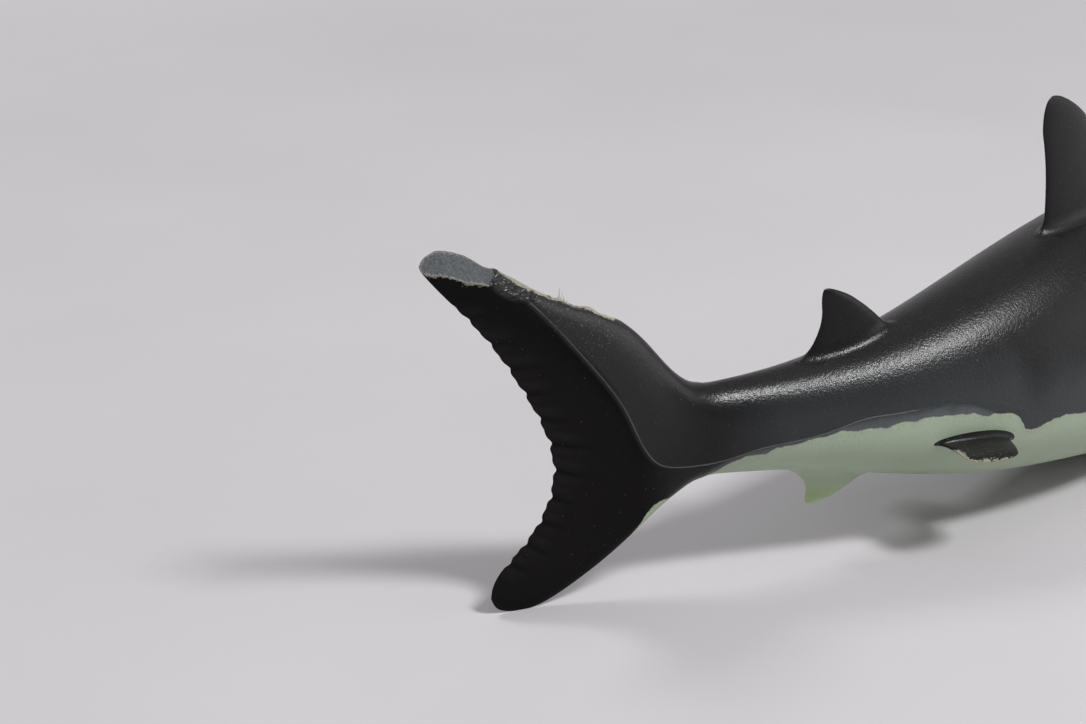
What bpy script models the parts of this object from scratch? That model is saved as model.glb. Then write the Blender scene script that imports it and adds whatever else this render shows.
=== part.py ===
"""A shark figurine, moulded in one piece of soft plastic, at its real size.

The part lies as it rests on a table: the belly, the tips of the pectoral fins and the
lower tip of the tail touch the ground plane. The snout points along +X and the right
side faces -Y. The tail is swung to the shark's left. The tip of the tail's upper lobe
is sliced off and the edge beside it is chewed, as on the toy.

Sizes are in millimetres until to_object() turns them to metres.
"""

import math

import bmesh
import bpy
import numpy as np
from mathutils import Matrix, Vector

METRES = 0.001

# Body. Lines hold (share of BODY_LENGTH behind the snout, millimetres).
BODY_LENGTH = 180.0
BACK_LINE = ((0.0, 28.4), (0.02, 32.2), (0.065, 36.4), (0.14, 41.4), (0.235, 46.0), (0.36, 50.3),
             (0.475, 50.5), (0.58, 48.6), (0.695, 44.2), (0.805, 39.2), (0.905, 36.0), (1.0, 35.0))
BELLY_LINE = ((0.0, 27.6), (0.02, 24.0), (0.065, 18.6), (0.14, 10.8), (0.235, 3.6), (0.34, -0.5),
              (0.475, 1.9), (0.58, 5.2), (0.695, 8.7), (0.805, 13.3), (0.905, 17.3), (1.0, 19.2))
HALF_WIDTH_LINE = ((0.0, 0.3), (0.02, 4.0), (0.065, 7.9), (0.14, 12.2), (0.235, 16.0), (0.36, 19.2),
                   (0.475, 19.2), (0.58, 17.8), (0.695, 15.0), (0.805, 11.0), (0.905, 7.2), (1.0, 4.9))
WIDEST_LINE = ((0.0, 28.0), (0.065, 28.2), (0.14, 26.6), (0.235, 24.6), (0.36, 23.6),
               (0.58, 24.6), (0.805, 26.4), (1.0, 27.1))
PAINT_LINE = ((0.0, 25.5), (0.14, 20.5), (0.36, 17.5), (0.60, 18.5), (0.75, 21.5), (0.88, 22.0),
              (1.0, 20.5))

# Swing of the tail, measured along the body from the snout
SWING_START = 55.0
SWING_END = 188.0
SWING_ANGLE = 31.0

# Tail fin, as (behind the tail's root, above the ground)
UPPER_EDGE = ((0.0, 35.0), (2.9, 37.2), (10.2, 45.1), (16.4, 50.2), (23.6, 53.9), (31.4, 58.6),
              (38.5, 62.8), (46.0, 66.4), (52.2, 68.4))
LOWER_EDGE = ((0.0, 19.2), (5.2, 15.4), (13.3, 8.4), (24.3, 1.7), (31.0, -0.4), (35.3, -0.1),
              (37.3, 2.8))
TRAILING_EDGE = ((37.3, 2.8), (34.8, 7.6), (30.7, 12.6), (27.8, 17.0), (26.1, 23.4), (26.8, 28.7),
                 (31.0, 38.0), (37.3, 48.0), (45.2, 57.4), (52.2, 68.4))
TRAILING_HALF_THICKNESS = 0.55
LOBE_HALF_THICKNESS = 3.2
BLADE_THINNING = 2.4
UPPER_LOBE_THINNING = 0.15
LOWER_LOBE_THINNING = 0.8
ROOT_ROUNDING = 3.4

# Rays pressed into both faces of the tail fin, counted from the lower tip
RAY_COUNT = 11
RAY_START = 7.0
RAY_PITCH = 4.1
RAY_PITCH_GROWTH = 0.09
RAY_LENGTH = 8.6
RAY_TIP_LENGTH = 5.0
RAY_RADIUS = 0.62
RAY_DROP_LOW = 38.0
RAY_DROP_STEP = 3.8

# Damage to the upper lobe of the tail
SLICE_PLACE = (36.0, 59.4)
SLICE_RISE_BACK = 0.2
SLICE_RISE_LEFT = 1.05
CHEW_START = 17.0
CHEW_END = 35.0
CHEW_DEPTH = 0.55
CHEW_BITES = 4

# Mouth, gills, eyes and nostrils
MOUTH_FRONT = 11.0
MOUTH_CORNER = 26.0
MOUTH_CORNER_ANGLE = 112.0
MOUTH_RADIUS = 0.9
GILL_COUNT = 5
GILL_FIRST = 38.0
GILL_PITCH = 3.4
GILL_TOP_ANGLE = 66.0
GILL_BOTTOM_ANGLE = 112.0
GILL_RADIUS = 0.6
EYE_PLACE = 16.5
EYE_ANGLE = 74.0
EYE_RADIUS = 2.0
EYE_PROUD = 0.7
NOSTRIL_PLACE = 6.5
NOSTRIL_ANGLE = 116.0
NOSTRIL_LENGTH = 2.0
NOSTRIL_RADIUS = 0.5

# Mesh fineness
BODY_RINGS = 34
TAIL_RINGS = 14
RING_POINTS = 56
RING_CROWDING = 1.3
FIN_POINTS = 16
TUBE_SIDES = 8
FILLET_STEPS = (0.0, 0.1, 0.36, 1.0)

# How far the tips of the fins are set back, as a share of the chord there
TIP_SET_BACK = 0.15


class Fin:
    """Sizes of one fin. Places are measured along the body from the snout.

    front and base place the root, lean carries the leading edge back over the span, and
    bulge and hollow bow the leading and the trailing edge. angle places the root round the
    body from the ridge of the back, and lift is the fin's slope against level, in degrees.
    """

    def __init__(self, front, base, span, lean, tip_chord, thickness, fillet, bulge, hollow,
                 angle, lift, sections, sink=2.0):
        self.front = front
        self.base = base
        self.span = span
        self.lean = lean
        self.tip_chord = tip_chord
        self.thickness = thickness
        self.fillet = fillet
        self.bulge = bulge
        self.hollow = hollow
        self.angle = angle
        self.lift = lift
        self.sections = sections
        self.sink = sink


FIRST_DORSAL = Fin(front=76.0, base=27.0, span=25.3, lean=22.0, tip_chord=8.5, thickness=5.2, fillet=3.0,
                   bulge=0.9, hollow=1.0, angle=0.0, lift=90.0, sections=10)
SECOND_DORSAL = Fin(front=142.5, base=19.0, span=11.6, lean=11.0, tip_chord=3.8, thickness=3.8, fillet=2.2,
                    bulge=0.6, hollow=2.4, angle=0.0, lift=90.0, sections=8)
ANAL = Fin(front=146.0, base=15.5, span=6.8, lean=9.6, tip_chord=3.0, thickness=3.0, fillet=1.8,
           bulge=0.8, hollow=1.9, angle=180.0, lift=-90.0, sections=7)
PELVIC = Fin(front=126.0, base=12.8, span=7.8, lean=3.4, tip_chord=9.0, thickness=2.8, fillet=1.4,
             bulge=0.3, hollow=0.2, angle=112.0, lift=-5.0, sections=7)
PECTORAL = Fin(front=46.0, base=20.0, span=37.0, lean=34.0, tip_chord=9.0, thickness=4.8, fillet=2.2,
               bulge=3.4, hollow=4.0, angle=112.0, lift=-25.3, sections=11)


def spline(line, where):
    """Natural cubic spline through (place, value) pairs."""
    place, value = np.array(line, float).T
    count = len(place)
    step = np.diff(place)
    system = np.zeros((count, count))
    slope_change = np.zeros(count)
    system[0, 0] = system[-1, -1] = 1.0
    for i in range(1, count - 1):
        system[i, i - 1:i + 2] = step[i - 1], 2 * (step[i - 1] + step[i]), step[i]
        slope_change[i] = 6 * ((value[i + 1] - value[i]) / step[i] - (value[i] - value[i - 1]) / step[i - 1])
    bend = np.linalg.solve(system, slope_change)
    at = np.clip(where, place[0], place[-1])
    k = np.clip(np.searchsorted(place, at) - 1, 0, count - 2)
    width = step[k]
    right = (at - place[k]) / width
    left = 1 - right
    straight = left * value[k] + right * value[k + 1]
    return straight + ((left**3 - left) * bend[k] + (right**3 - right) * bend[k + 1]) * width**2 / 6


def edge_curve(points, share):
    """Points on a smooth curve through the given ones, at shares of its length."""
    points = np.array(points, float)
    chord = np.concatenate([[0], np.cumsum(np.linalg.norm(np.diff(points, axis=0), axis=1))])
    fine = np.linspace(0, chord[-1], 400)
    curve = np.stack([spline(np.column_stack([chord, points[:, i]]), fine) for i in (0, 1)], -1)
    length = np.concatenate([[0], np.cumsum(np.linalg.norm(np.diff(curve, axis=0), axis=1))])
    at = np.asarray(share, float) * length[-1]
    return np.stack([np.interp(at, length, curve[:, i]) for i in (0, 1)], -1)


def edge_length(points):
    curve = edge_curve(points, np.linspace(0, 1, 200))
    return np.linalg.norm(np.diff(curve, axis=0), axis=1).sum()


def heading(place):
    """How far the body has turned from the snout's direction, in radians."""
    share = np.clip((np.asarray(place, float) - SWING_START) / (SWING_END - SWING_START), 0, 1)
    return math.radians(SWING_ANGLE) * share**2 * (3 - 2 * share)


def directions(place):
    """Unit vectors backwards and to the left at a place on the spine."""
    turn = heading(place)
    level = np.zeros_like(turn)
    back = np.stack([-np.cos(turn), np.sin(turn), level], -1)
    left = np.stack([np.sin(turn), np.cos(turn), level], -1)
    return back, left


def spine(place):
    """Plan position of the spine, from the snout at x = 0."""
    fine = np.linspace(-20.0, BODY_LENGTH + 20.0, 900)
    back, _ = directions(fine)
    middles = (back[1:] + back[:-1]) / 2 * np.diff(fine)[:, None]
    path = np.concatenate([np.zeros((1, 3)), np.cumsum(middles, axis=0)])
    start = np.array([np.interp(0.0, fine, path[:, i]) for i in range(3)])
    return np.stack([np.interp(place, fine, path[:, i] - start[i]) for i in range(3)], -1)


def body_surface(place, angle):
    """A point on the skin. The angle runs from the ridge of the back to the left, in radians."""
    place, angle = np.broadcast_arrays(np.asarray(place, float), np.asarray(angle, float))
    share = place / BODY_LENGTH
    back, belly, half_width, widest = (
        spline(line, share) for line in (BACK_LINE, BELLY_LINE, HALF_WIDTH_LINE, WIDEST_LINE))
    up = np.cos(angle)
    height = widest + np.where(up > 0, back - widest, widest - belly) * up
    _, left = directions(place)
    points = spine(place) + left * (half_width * np.sin(angle))[..., None]
    points[..., 2] = height
    return points


def ring_angles():
    return np.arange(RING_POINTS) / RING_POINTS * 2 * math.pi


def body_rings():
    """Rings of the body from just behind the snout's point to just before the tail's root."""
    share = (np.arange(1, BODY_RINGS) / BODY_RINGS)**RING_CROWDING
    return [body_surface(BODY_LENGTH * s, ring_angles()) for s in share]


def tail_outline(across, along):
    """Side view of the tail fin: a patch stretched between its four edges.

    across runs from 0 on the lower edge to 1 on the upper one, and along from 0 at the
    tail's root to 1 at the trailing edge.
    """
    low, high = edge_curve(LOWER_EDGE, along), edge_curve(UPPER_EDGE, along)
    trailing = edge_curve(TRAILING_EDGE, across)
    root_low, root_high = np.array(LOWER_EDGE[0]), np.array(UPPER_EDGE[0])
    w = np.asarray(across, float)[..., None]
    u = np.asarray(along, float)[..., None]
    root = (1 - w) * root_low + w * root_high
    corners = (1 - u) * root + u * ((1 - w) * np.array(TRAILING_EDGE[0]) + w * np.array(TRAILING_EDGE[-1]))
    return (1 - w) * low + w * high + (1 - u) * root + u * trailing - corners


def tail_half_thickness(across, along):
    """Thick round root, thin blade, and a thicker rim along both leading edges."""
    side = 2 * np.asarray(across) - 1
    lobe_thinning = np.where(side > 0, UPPER_LOBE_THINNING, LOWER_LOBE_THINNING)
    thinning = BLADE_THINNING + (lobe_thinning - BLADE_THINNING) * (1 - (1 - side**2)**2)
    root_half_width = HALF_WIDTH_LINE[-1][1]
    core = root_half_width + (LOBE_HALF_THICKNESS - root_half_width) * along
    flat = TRAILING_HALF_THICKNESS + (core - TRAILING_HALF_THICKNESS) * (1 - along)**thinning
    squareness = 2 + 10 * along
    return flat * np.sqrt(np.clip(1 - np.abs(side)**squareness, 0, 1))


def tail_point(outline, aside):
    """World position of (behind the root, height) on the tail's middle plane, moved left by aside."""
    back, left = directions(BODY_LENGTH)
    outline = np.asarray(outline, float)
    points = spine(BODY_LENGTH) + outline[..., :1] * back + np.asarray(aside, float)[..., None] * left
    points[..., 2] = outline[..., 1]
    return points


def tail_rings():
    """Rings from the tail's root to the trailing edge. Each is a flattened loop."""
    angle = ring_angles()
    round_across = (1 + np.cos(angle)) / 2
    even_across = np.abs(1 - angle / math.pi)
    rings = []
    for along in (np.arange(TAIL_RINGS) / (TAIL_RINGS - 1))**0.9:
        across = round_across + (even_across - round_across) * 0.75 * min(1.0, 2 * along)
        aside = tail_half_thickness(across, np.full_like(across, along)) * np.sign(np.sin(angle))
        aside[[0, RING_POINTS // 2]] = 0
        rings.append(tail_point(tail_outline(across, np.full_like(across, along)), aside))
    return rings


def round_root(rings, root):
    """Rounds the corner where the trunk meets the tail, at ring number root.

    Rings are added halfway between those nearest to it. Then each point becomes a
    bell-weighted mean of the points before and after it, over a reach that fades away.
    """
    grid = np.array(rings)
    near = np.arange(root - 1, root + 2)
    grid = np.insert(grid, near + 1, (grid[near] + grid[near + 1]) / 2, axis=0)
    steps = np.linalg.norm(np.diff(grid, axis=0), axis=2)
    run = np.concatenate([np.zeros((1, steps.shape[1])), np.cumsum(steps, axis=0)])
    fade = np.clip(1 - np.abs(run - run[root + 1]) / (3 * ROOT_ROUNDING), 0.02, 1)
    bell = np.exp(-((run[None] - run[:, None]) / (ROOT_ROUNDING * fade)[:, None])**2)
    bell *= np.gradient(run, axis=0)
    return list(np.einsum("rkp,kpd->rpd", bell, grid) / bell.sum(axis=1)[..., None])


def mesh_from(vertices, faces, name):
    mesh = bpy.data.meshes.new(name)
    mesh.from_pydata([tuple(v) for v in vertices], [], faces)
    mesh.validate()
    return mesh


def ring_faces(rings, points):
    """Quads between neighbouring rings."""
    faces = []
    for r in range(rings - 1):
        for j in range(points):
            k = (j + 1) % points
            faces.append((r * points + j, r * points + k, (r + 1) * points + k, (r + 1) * points + j))
    return faces


def body_mesh():
    """Loft from the snout to the trailing edge of the tail, closed by a point and by a zip."""
    rings = round_root(body_rings() + tail_rings(), BODY_RINGS - 1)
    count = RING_POINTS
    vertices = np.concatenate(rings)
    faces = ring_faces(len(rings), count)
    snout = len(vertices)
    tip = body_surface(0.0, math.pi / 2)
    tip[1] = 0.0
    vertices = np.concatenate([vertices, tip[None]])
    faces += [(snout, (j + 1) % count, j) for j in range(count)]
    last = (len(rings) - 1) * count
    half = count // 2
    faces.append((last, last + 1, last + count - 1))
    for j in range(1, half - 1):
        faces.append((last + j, last + j + 1, last + count - j - 1, last + count - j))
    faces.append((last + half - 1, last + half, last + half + 1))
    return mesh_from(vertices, faces, "shark")


def add_fin(fin, side, name, collection):
    """A fin draped on the skin at its root and swept to a rounded tip.

    side is 1 on the left or on the middle plane, and -1 on the right.
    """
    points = FIN_POINTS
    around = np.arange(points) / points * 2 * math.pi
    chord_share = (1 - np.cos(around)) / 2
    root_angle = math.radians(fin.angle) * side
    lift = math.radians(fin.lift)
    swept = np.sin(np.linspace(0, math.pi / 2, fin.sections))[1:]
    heights = [-fin.sink, *(fin.fillet * np.array(FILLET_STEPS)), *(fin.fillet + (fin.span - fin.fillet) * swept)]
    rings = []
    for height in heights:
        rise = np.clip(height / fin.span, 0, 1)
        rounding = math.sqrt(max(0.0, 1 - max(0.0, (rise - 0.72) / 0.28)**2))
        near = np.clip(1 - height / fin.fillet, 0, 1)
        flare = fin.fillet * (1 - math.sqrt(max(0.0, 1 - near**2)))
        bow = 4 * rise * (1 - rise)
        front = fin.front + fin.lean * rise - fin.bulge * bow
        rear = fin.front + fin.base + (fin.lean + fin.tip_chord - fin.base) * rise - fin.hollow * bow
        middle = (front + rear) / 2 + (rear - front) * TIP_SET_BACK * rise**4
        half_chord = (rear - front) / 2 * rounding + flare
        thick = fin.thickness / 2 * (1 - 0.62 * rise) * rounding + flare
        place = middle + half_chord * (2 * chord_share - 1)
        aside = thick * np.sin(around) * (1 - 0.35 * chord_share)
        rings.append(drape(place, aside, height, fin, root_angle, lift, side))
    vertices = np.concatenate(rings[:-1] + [rings[-1][:1]])
    faces = ring_faces(len(rings) - 1, points)
    tip = len(vertices) - 1
    last = (len(rings) - 2) * points
    faces += [(last + j, last + (j + 1) % points, tip) for j in range(points)]
    faces.append(tuple(reversed(range(points))))
    shape = bmesh.new()
    shape.from_mesh(mesh_from(vertices, faces, name))
    made = helper_object(shape, name, collection)
    for face in made.data.polygons:
        face.material_index = int(fin is ANAL)


def drape(place, aside, height, fin, root_angle, lift, side):
    """Points of one fin section: on the skin at the root, square to the fin further out."""
    foot = body_surface(place, root_angle)
    share = place / BODY_LENGTH
    radius = (spline(BACK_LINE, share) - spline(BELLY_LINE, share)) / 4 + spline(HALF_WIDTH_LINE, share) / 2
    on_skin = body_surface(place, root_angle + side * aside / radius) - foot
    _, left = directions(place)
    upward = np.array([0.0, 0.0, 1.0])
    out = left * (math.cos(lift) * side) + upward * math.sin(lift)
    across = (left * side * -math.sin(lift) + upward * math.cos(lift)) * -1.0
    blend = np.clip(height / fin.fillet, 0, 1)
    return foot + out * height + on_skin * (1 - blend) + across * aside[:, None] * blend


def to_object(mesh, collection):
    """Puts a mesh in the scene, in metres, with its faces pointing out."""
    shape = bmesh.new()
    shape.from_mesh(mesh)
    finish(shape, mesh)
    made = bpy.data.objects.new(mesh.name, mesh)
    collection.objects.link(made)
    return made


def finish(shape, mesh):
    bmesh.ops.scale(shape, vec=Vector((METRES,) * 3), verts=shape.verts)
    bmesh.ops.recalc_face_normals(shape, faces=shape.faces)
    shape.to_mesh(mesh)
    shape.free()


def helper_object(shape, name, collection):
    """A shape in millimetres that only joins or cuts: drawn as wire and not rendered."""
    mesh = bpy.data.meshes.new(name)
    finish(shape, mesh)
    made = bpy.data.objects.new(name, mesh)
    made.hide_render = True
    made.display_type = "WIRE"
    collection.objects.link(made)
    return made


def tube(path, radius, name, collection):
    """A closed round bar along a path, as a cutter."""
    curve = bpy.data.curves.new(name, "CURVE")
    curve.dimensions = "3D"
    curve.bevel_depth = radius
    curve.bevel_resolution = TUBE_SIDES // 4
    curve.use_fill_caps = True
    run = curve.splines.new("POLY")
    run.points.add(len(path) - 1)
    for point, place in zip(run.points, path):
        point.co = (*place, 1.0)
    bar = bpy.data.objects.new(name, curve)
    collection.objects.link(bar)
    bpy.context.view_layer.update()
    graph = bpy.context.evaluated_depsgraph_get()
    mesh = bpy.data.meshes.new_from_object(bar.evaluated_get(graph))
    bpy.data.objects.remove(bar)
    shape = bmesh.new()
    shape.from_mesh(mesh)
    bmesh.ops.remove_doubles(shape, verts=shape.verts, dist=radius * 0.01)
    return helper_object(shape, name, collection)


def cone_between(start, end, start_radius, end_radius, name, collection):
    """A slim cone frustum from start to end, as a cutter."""
    shape = bmesh.new()
    axis = Vector(end - start)
    bmesh.ops.create_cone(shape, cap_ends=True, segments=TUBE_SIDES, radius1=start_radius,
                          radius2=end_radius, depth=axis.length)
    turn = axis.to_track_quat("Z", "Y").to_matrix().to_4x4()
    turn.translation = Vector(start + end) / 2
    bmesh.ops.transform(shape, matrix=turn, verts=shape.verts)
    return helper_object(shape, name, collection)


def blade_half_thickness(point):
    """Half thickness of the tail fin near a point of its side view."""
    across, along = np.meshgrid(np.linspace(0, 1, 61), np.linspace(0, 1, 41))
    outline = tail_outline(across.ravel(), along.ravel())
    nearest = np.argmin(np.linalg.norm(outline - point, axis=1))
    return float(tail_half_thickness(across.ravel()[nearest], along.ravel()[nearest]))


def cut_rays(collection):
    """Bars that press each ray into both faces and notch the trailing edge."""
    total = edge_length(TRAILING_EDGE)
    for i in range(RAY_COUNT):
        share = (RAY_START + RAY_PITCH * i + RAY_PITCH_GROWTH * i**2) / total
        edge = edge_curve(TRAILING_EDGE, [share])[0]
        drop = math.radians(RAY_DROP_LOW - RAY_DROP_STEP * i)
        inward = np.array([-math.cos(drop), -math.sin(drop)])
        middle = 1 - abs(2 * i / (RAY_COUNT - 1) - 1)
        length = RAY_TIP_LENGTH + (RAY_LENGTH - RAY_TIP_LENGTH) * middle
        outer = edge - inward * RAY_RADIUS * 2
        inner = edge + inward * length
        lifted = blade_half_thickness(inner) + RAY_RADIUS * 0.45
        for side in (-1, 1):
            start = tail_point(outer, np.array(side * (TRAILING_HALF_THICKNESS + RAY_RADIUS * 0.1)))
            end = tail_point(inner, np.array(side * lifted))
            cone_between(start, end, RAY_RADIUS, RAY_RADIUS * 0.4, f"ray_{i}_{side}", collection)


def box(size, matrix, name, collection):
    """A box in millimetres, placed by a matrix, as a cutter."""
    shape = bmesh.new()
    bmesh.ops.create_cube(shape, size=1.0)
    bmesh.ops.scale(shape, vec=Vector(size), verts=shape.verts)
    bmesh.ops.transform(shape, matrix=matrix, verts=shape.verts)
    return helper_object(shape, name, collection)


def cut_slice(collection):
    """The slanted slice that took the tip of the upper lobe. Its lower face is the cut."""
    behind, height = SLICE_PLACE
    back, left = directions(BODY_LENGTH)
    along = Vector(back) + Vector((0, 0, SLICE_RISE_BACK))
    across = Vector(left) + Vector((0, 0, SLICE_RISE_LEFT))
    out = across.cross(along).normalized()
    if out.z < 0:
        out.negate()
    along.normalize()
    side = out.cross(along)
    reach = 2 * (TRAILING_EDGE[-1][1] - height + LOBE_HALF_THICKNESS * 4)
    place = Vector(tail_point((behind, height), 0.0)) + out * reach / 2
    turn = Matrix((along, side, out)).transposed().to_4x4()
    turn.translation = place
    knife = box((reach * 2, reach, reach), turn, "slice", collection)
    for face in knife.data.polygons:
        face.material_index = 2


def cut_ground(collection):
    """Everything under the table's surface, so that what touches it is flat."""
    reach = 3 * BODY_LENGTH
    depth = 4 * PECTORAL.span
    box((reach, reach, depth), Matrix.Translation((0, 0, -depth / 2)), "ground", collection)


def cut_chew(collection):
    """Shallow bites along the upper lobe's leading edge."""
    total = edge_length(UPPER_EDGE)
    pitch = (CHEW_END - CHEW_START) / CHEW_BITES
    for i in range(CHEW_BITES):
        ends = [edge_curve(UPPER_EDGE, [(CHEW_START + pitch * (i + k)) / total])[0] for k in (0.05, 1.05)]
        radius = 3.0 * CHEW_DEPTH
        lift = np.array([0.0, radius - CHEW_DEPTH])
        start, end = (tail_point(e + lift, np.array(0.4 * (-1)**i)) for e in ends)
        cone_between(start, end, radius * 0.9, radius, f"bite_{i}", collection)


def cut_mouth(collection):
    """Crescent of the closed mouth under the snout."""
    run = np.linspace(-1, 1, 25)
    place = MOUTH_FRONT + (MOUTH_CORNER - MOUTH_FRONT) * np.abs(run)**1.7
    angle = math.pi + (math.pi - math.radians(MOUTH_CORNER_ANGLE)) * run
    tube(body_surface(place, angle), MOUTH_RADIUS, "mouth", collection)


def cut_gills(collection):
    """Slits on both sides, a little longer towards the front."""
    for side in (-1, 1):
        for i in range(GILL_COUNT):
            top = math.radians(GILL_TOP_ANGLE + 3 * i)
            bottom = math.radians(GILL_BOTTOM_ANGLE - 3 * i)
            run = np.linspace(0, 1, 7)
            place = GILL_FIRST + GILL_PITCH * i - 1.6 * np.sin(math.pi * run)
            path = body_surface(place, side * (top + (bottom - top) * run))
            tube(path, GILL_RADIUS, f"gill_{side}_{i}", collection)


def cut_nostrils(collection):
    for side in (-1, 1):
        place = NOSTRIL_PLACE + NOSTRIL_LENGTH * np.array([0.0, 0.5, 1.0])
        path = body_surface(place, side * math.radians(NOSTRIL_ANGLE))
        tube(path, NOSTRIL_RADIUS, f"nostril_{side}", collection)


def add_eyes(collection):
    """Low domes in the sides of the head."""
    for side in (-1, 1):
        on_skin = body_surface(EYE_PLACE, side * math.radians(EYE_ANGLE))
        _, left = directions(EYE_PLACE)
        centre = on_skin - left * side * (EYE_RADIUS - EYE_PROUD)
        shape = bmesh.new()
        bmesh.ops.create_uvsphere(shape, u_segments=12, v_segments=8, radius=EYE_RADIUS)
        bmesh.ops.translate(shape, vec=Vector(centre), verts=shape.verts)
        helper_object(shape, f"eye_{side}", collection)


def boolean(target, collection, operation):
    step = target.modifiers.new(operation.lower(), "BOOLEAN")
    step.operand_type = "COLLECTION"
    step.collection = collection
    step.operation = operation
    step.solver = "EXACT"
    return step


def material(name, colour, roughness):
    made = bpy.data.materials.new(name)
    made.use_nodes = True
    shader = made.node_tree.nodes["Principled BSDF"]
    shader.inputs["Base Color"].default_value = (*colour, 1.0)
    shader.inputs["Roughness"].default_value = roughness
    shader.inputs["Metallic"].default_value = 0.0
    made.diffuse_color = (*colour, 1.0)
    return made


def paint(shark):
    """Dark back over the pale moulding colour of the belly, and the bare core where the tip was cut."""
    shark.data.materials.append(material("dark_back_paint", (0.028, 0.028, 0.030), 0.38))
    shark.data.materials.append(material("pale_green_pvc", (0.42, 0.52, 0.38), 0.45))
    shark.data.materials.append(material("cut_grey_core", (0.16, 0.17, 0.175), 0.7))
    tail_start = BODY_RINGS - 1
    for face in shark.data.polygons:
        ring = min(face.vertices) // RING_POINTS
        share = min(1.0, (min(ring, tail_start) / BODY_RINGS)**RING_CROWDING)
        line = float(spline(PAINT_LINE, share)) * METRES
        face.material_index = int(ring < tail_start and face.center.z < line)


def clear_scene():
    for thing in list(bpy.data.objects):
        bpy.data.objects.remove(thing)


def collection_named(name):
    made = bpy.data.collections.new(name)
    bpy.context.scene.collection.children.link(made)
    return made


def centre_on_ground(shark):
    """Applies the joins and cuts, then puts the middle of the base outline at the origin."""
    bpy.context.view_layer.update()
    graph = bpy.context.evaluated_depsgraph_get()
    finished = bpy.data.meshes.new_from_object(shark.evaluated_get(graph))
    shark.modifiers.clear()
    shark.data = finished
    finished.name = "shark"
    low = np.min([v.co for v in finished.vertices], axis=0)
    high = np.max([v.co for v in finished.vertices], axis=0)
    middle = (low + high) / 2
    for vertex in finished.vertices:
        vertex.co.x -= middle[0]
        vertex.co.y -= middle[1]


def main():
    clear_scene()
    parts = collection_named("shark_figurine")
    fins = collection_named("fins_and_eyes")
    cutters = collection_named("cutters")

    shark = to_object(body_mesh(), parts)
    paint(shark)

    for name, fin in (("first_dorsal", FIRST_DORSAL), ("second_dorsal", SECOND_DORSAL), ("anal", ANAL)):
        add_fin(fin, 1, name, fins)
    for name, fin in (("pelvic", PELVIC), ("pectoral", PECTORAL)):
        for side, word in ((1, "left"), (-1, "right")):
            add_fin(fin, side, f"{name}_{word}", fins)
    add_eyes(fins)

    cut_rays(cutters)
    cut_slice(cutters)
    cut_chew(cutters)
    cut_mouth(cutters)
    cut_gills(cutters)
    cut_nostrils(cutters)
    cut_ground(cutters)

    boolean(shark, fins, "UNION")
    boolean(shark, cutters, "DIFFERENCE")
    centre_on_ground(shark)
    shark.data.shade_smooth()
    shark.data.set_sharp_from_angle(angle=math.radians(35))


main()
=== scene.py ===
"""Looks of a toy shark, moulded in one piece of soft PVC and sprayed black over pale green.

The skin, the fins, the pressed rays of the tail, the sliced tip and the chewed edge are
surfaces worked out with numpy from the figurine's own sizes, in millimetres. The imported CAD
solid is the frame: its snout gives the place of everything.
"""

import logging
import math
from dataclasses import dataclass, field
from enum import Enum
from functools import partial
from typing import Any, Optional, Sequence

import bpy
import numpy as np
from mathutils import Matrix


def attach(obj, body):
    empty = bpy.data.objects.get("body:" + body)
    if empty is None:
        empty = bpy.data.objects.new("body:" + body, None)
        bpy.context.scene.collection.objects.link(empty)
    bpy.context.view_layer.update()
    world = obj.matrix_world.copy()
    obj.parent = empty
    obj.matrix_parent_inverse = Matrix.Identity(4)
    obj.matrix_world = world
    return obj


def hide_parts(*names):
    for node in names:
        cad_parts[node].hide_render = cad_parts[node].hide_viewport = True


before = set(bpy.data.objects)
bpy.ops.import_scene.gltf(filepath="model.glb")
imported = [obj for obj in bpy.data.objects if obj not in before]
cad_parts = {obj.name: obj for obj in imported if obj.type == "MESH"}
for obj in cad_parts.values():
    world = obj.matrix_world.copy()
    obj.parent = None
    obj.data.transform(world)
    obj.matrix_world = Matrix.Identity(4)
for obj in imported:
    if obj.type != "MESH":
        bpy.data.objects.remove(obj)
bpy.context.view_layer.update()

Array = np.ndarray
Pairs = Sequence[tuple[float, float]]

LOG = logging.getLogger("shark_figurine")
METRES = 0.001
NODE = "shark"
FAR = 50.0
SKIN_VALUES = ("paint", "seam", "blade", "band", "wear", "melt", "rim", "thin", "ray", "behind")


class Side(Enum):
    """Which side of the shark a piece is on. The value is its sign along the left."""

    LEFT = 1
    RIGHT = -1
    MIDDLE = 0


class Coat(Enum):
    """Where a fin is sprayed black."""

    ALL = "all"
    NONE = "none"
    TOP = "top"


def spline(knots: Pairs, where: Array) -> Array:
    """Natural cubic spline, whose second derivatives solve one linear system.

    Args:
        knots: (place, value) pairs in rising order of place.
        where: Places to read, held within the first and the last knot.

    Returns:
        The values there.
    """
    place, value = np.array(knots, float).T
    step = np.diff(place)
    system = np.eye(len(place))
    change = np.zeros(len(place))
    inner = np.arange(1, len(place) - 1)
    system[inner, inner - 1] = step[:-1]
    system[inner, inner] = 2 * (step[:-1] + step[1:])
    system[inner, inner + 1] = step[1:]
    change[inner] = 6 * (np.diff(value)[1:] / step[1:] - np.diff(value)[:-1] / step[:-1])
    bend = np.linalg.solve(system, change)
    at = np.clip(where, place[0], place[-1])
    k = np.clip(np.searchsorted(place, at) - 1, 0, len(place) - 2)
    right = (at - place[k]) / step[k]
    left = 1 - right
    curved = (left**3 - left) * bend[k] + (right**3 - right) * bend[k + 1]
    return left * value[k] + right * value[k + 1] + curved * step[k]**2 / 6


def smoothstep(low: float, high: float, value: Array) -> Array:
    """3t^2 - 2t^3 of the value's share between low and high."""
    share = np.clip((value - low) / (high - low), 0, 1)
    return share**2 * (3 - 2 * share)


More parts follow.
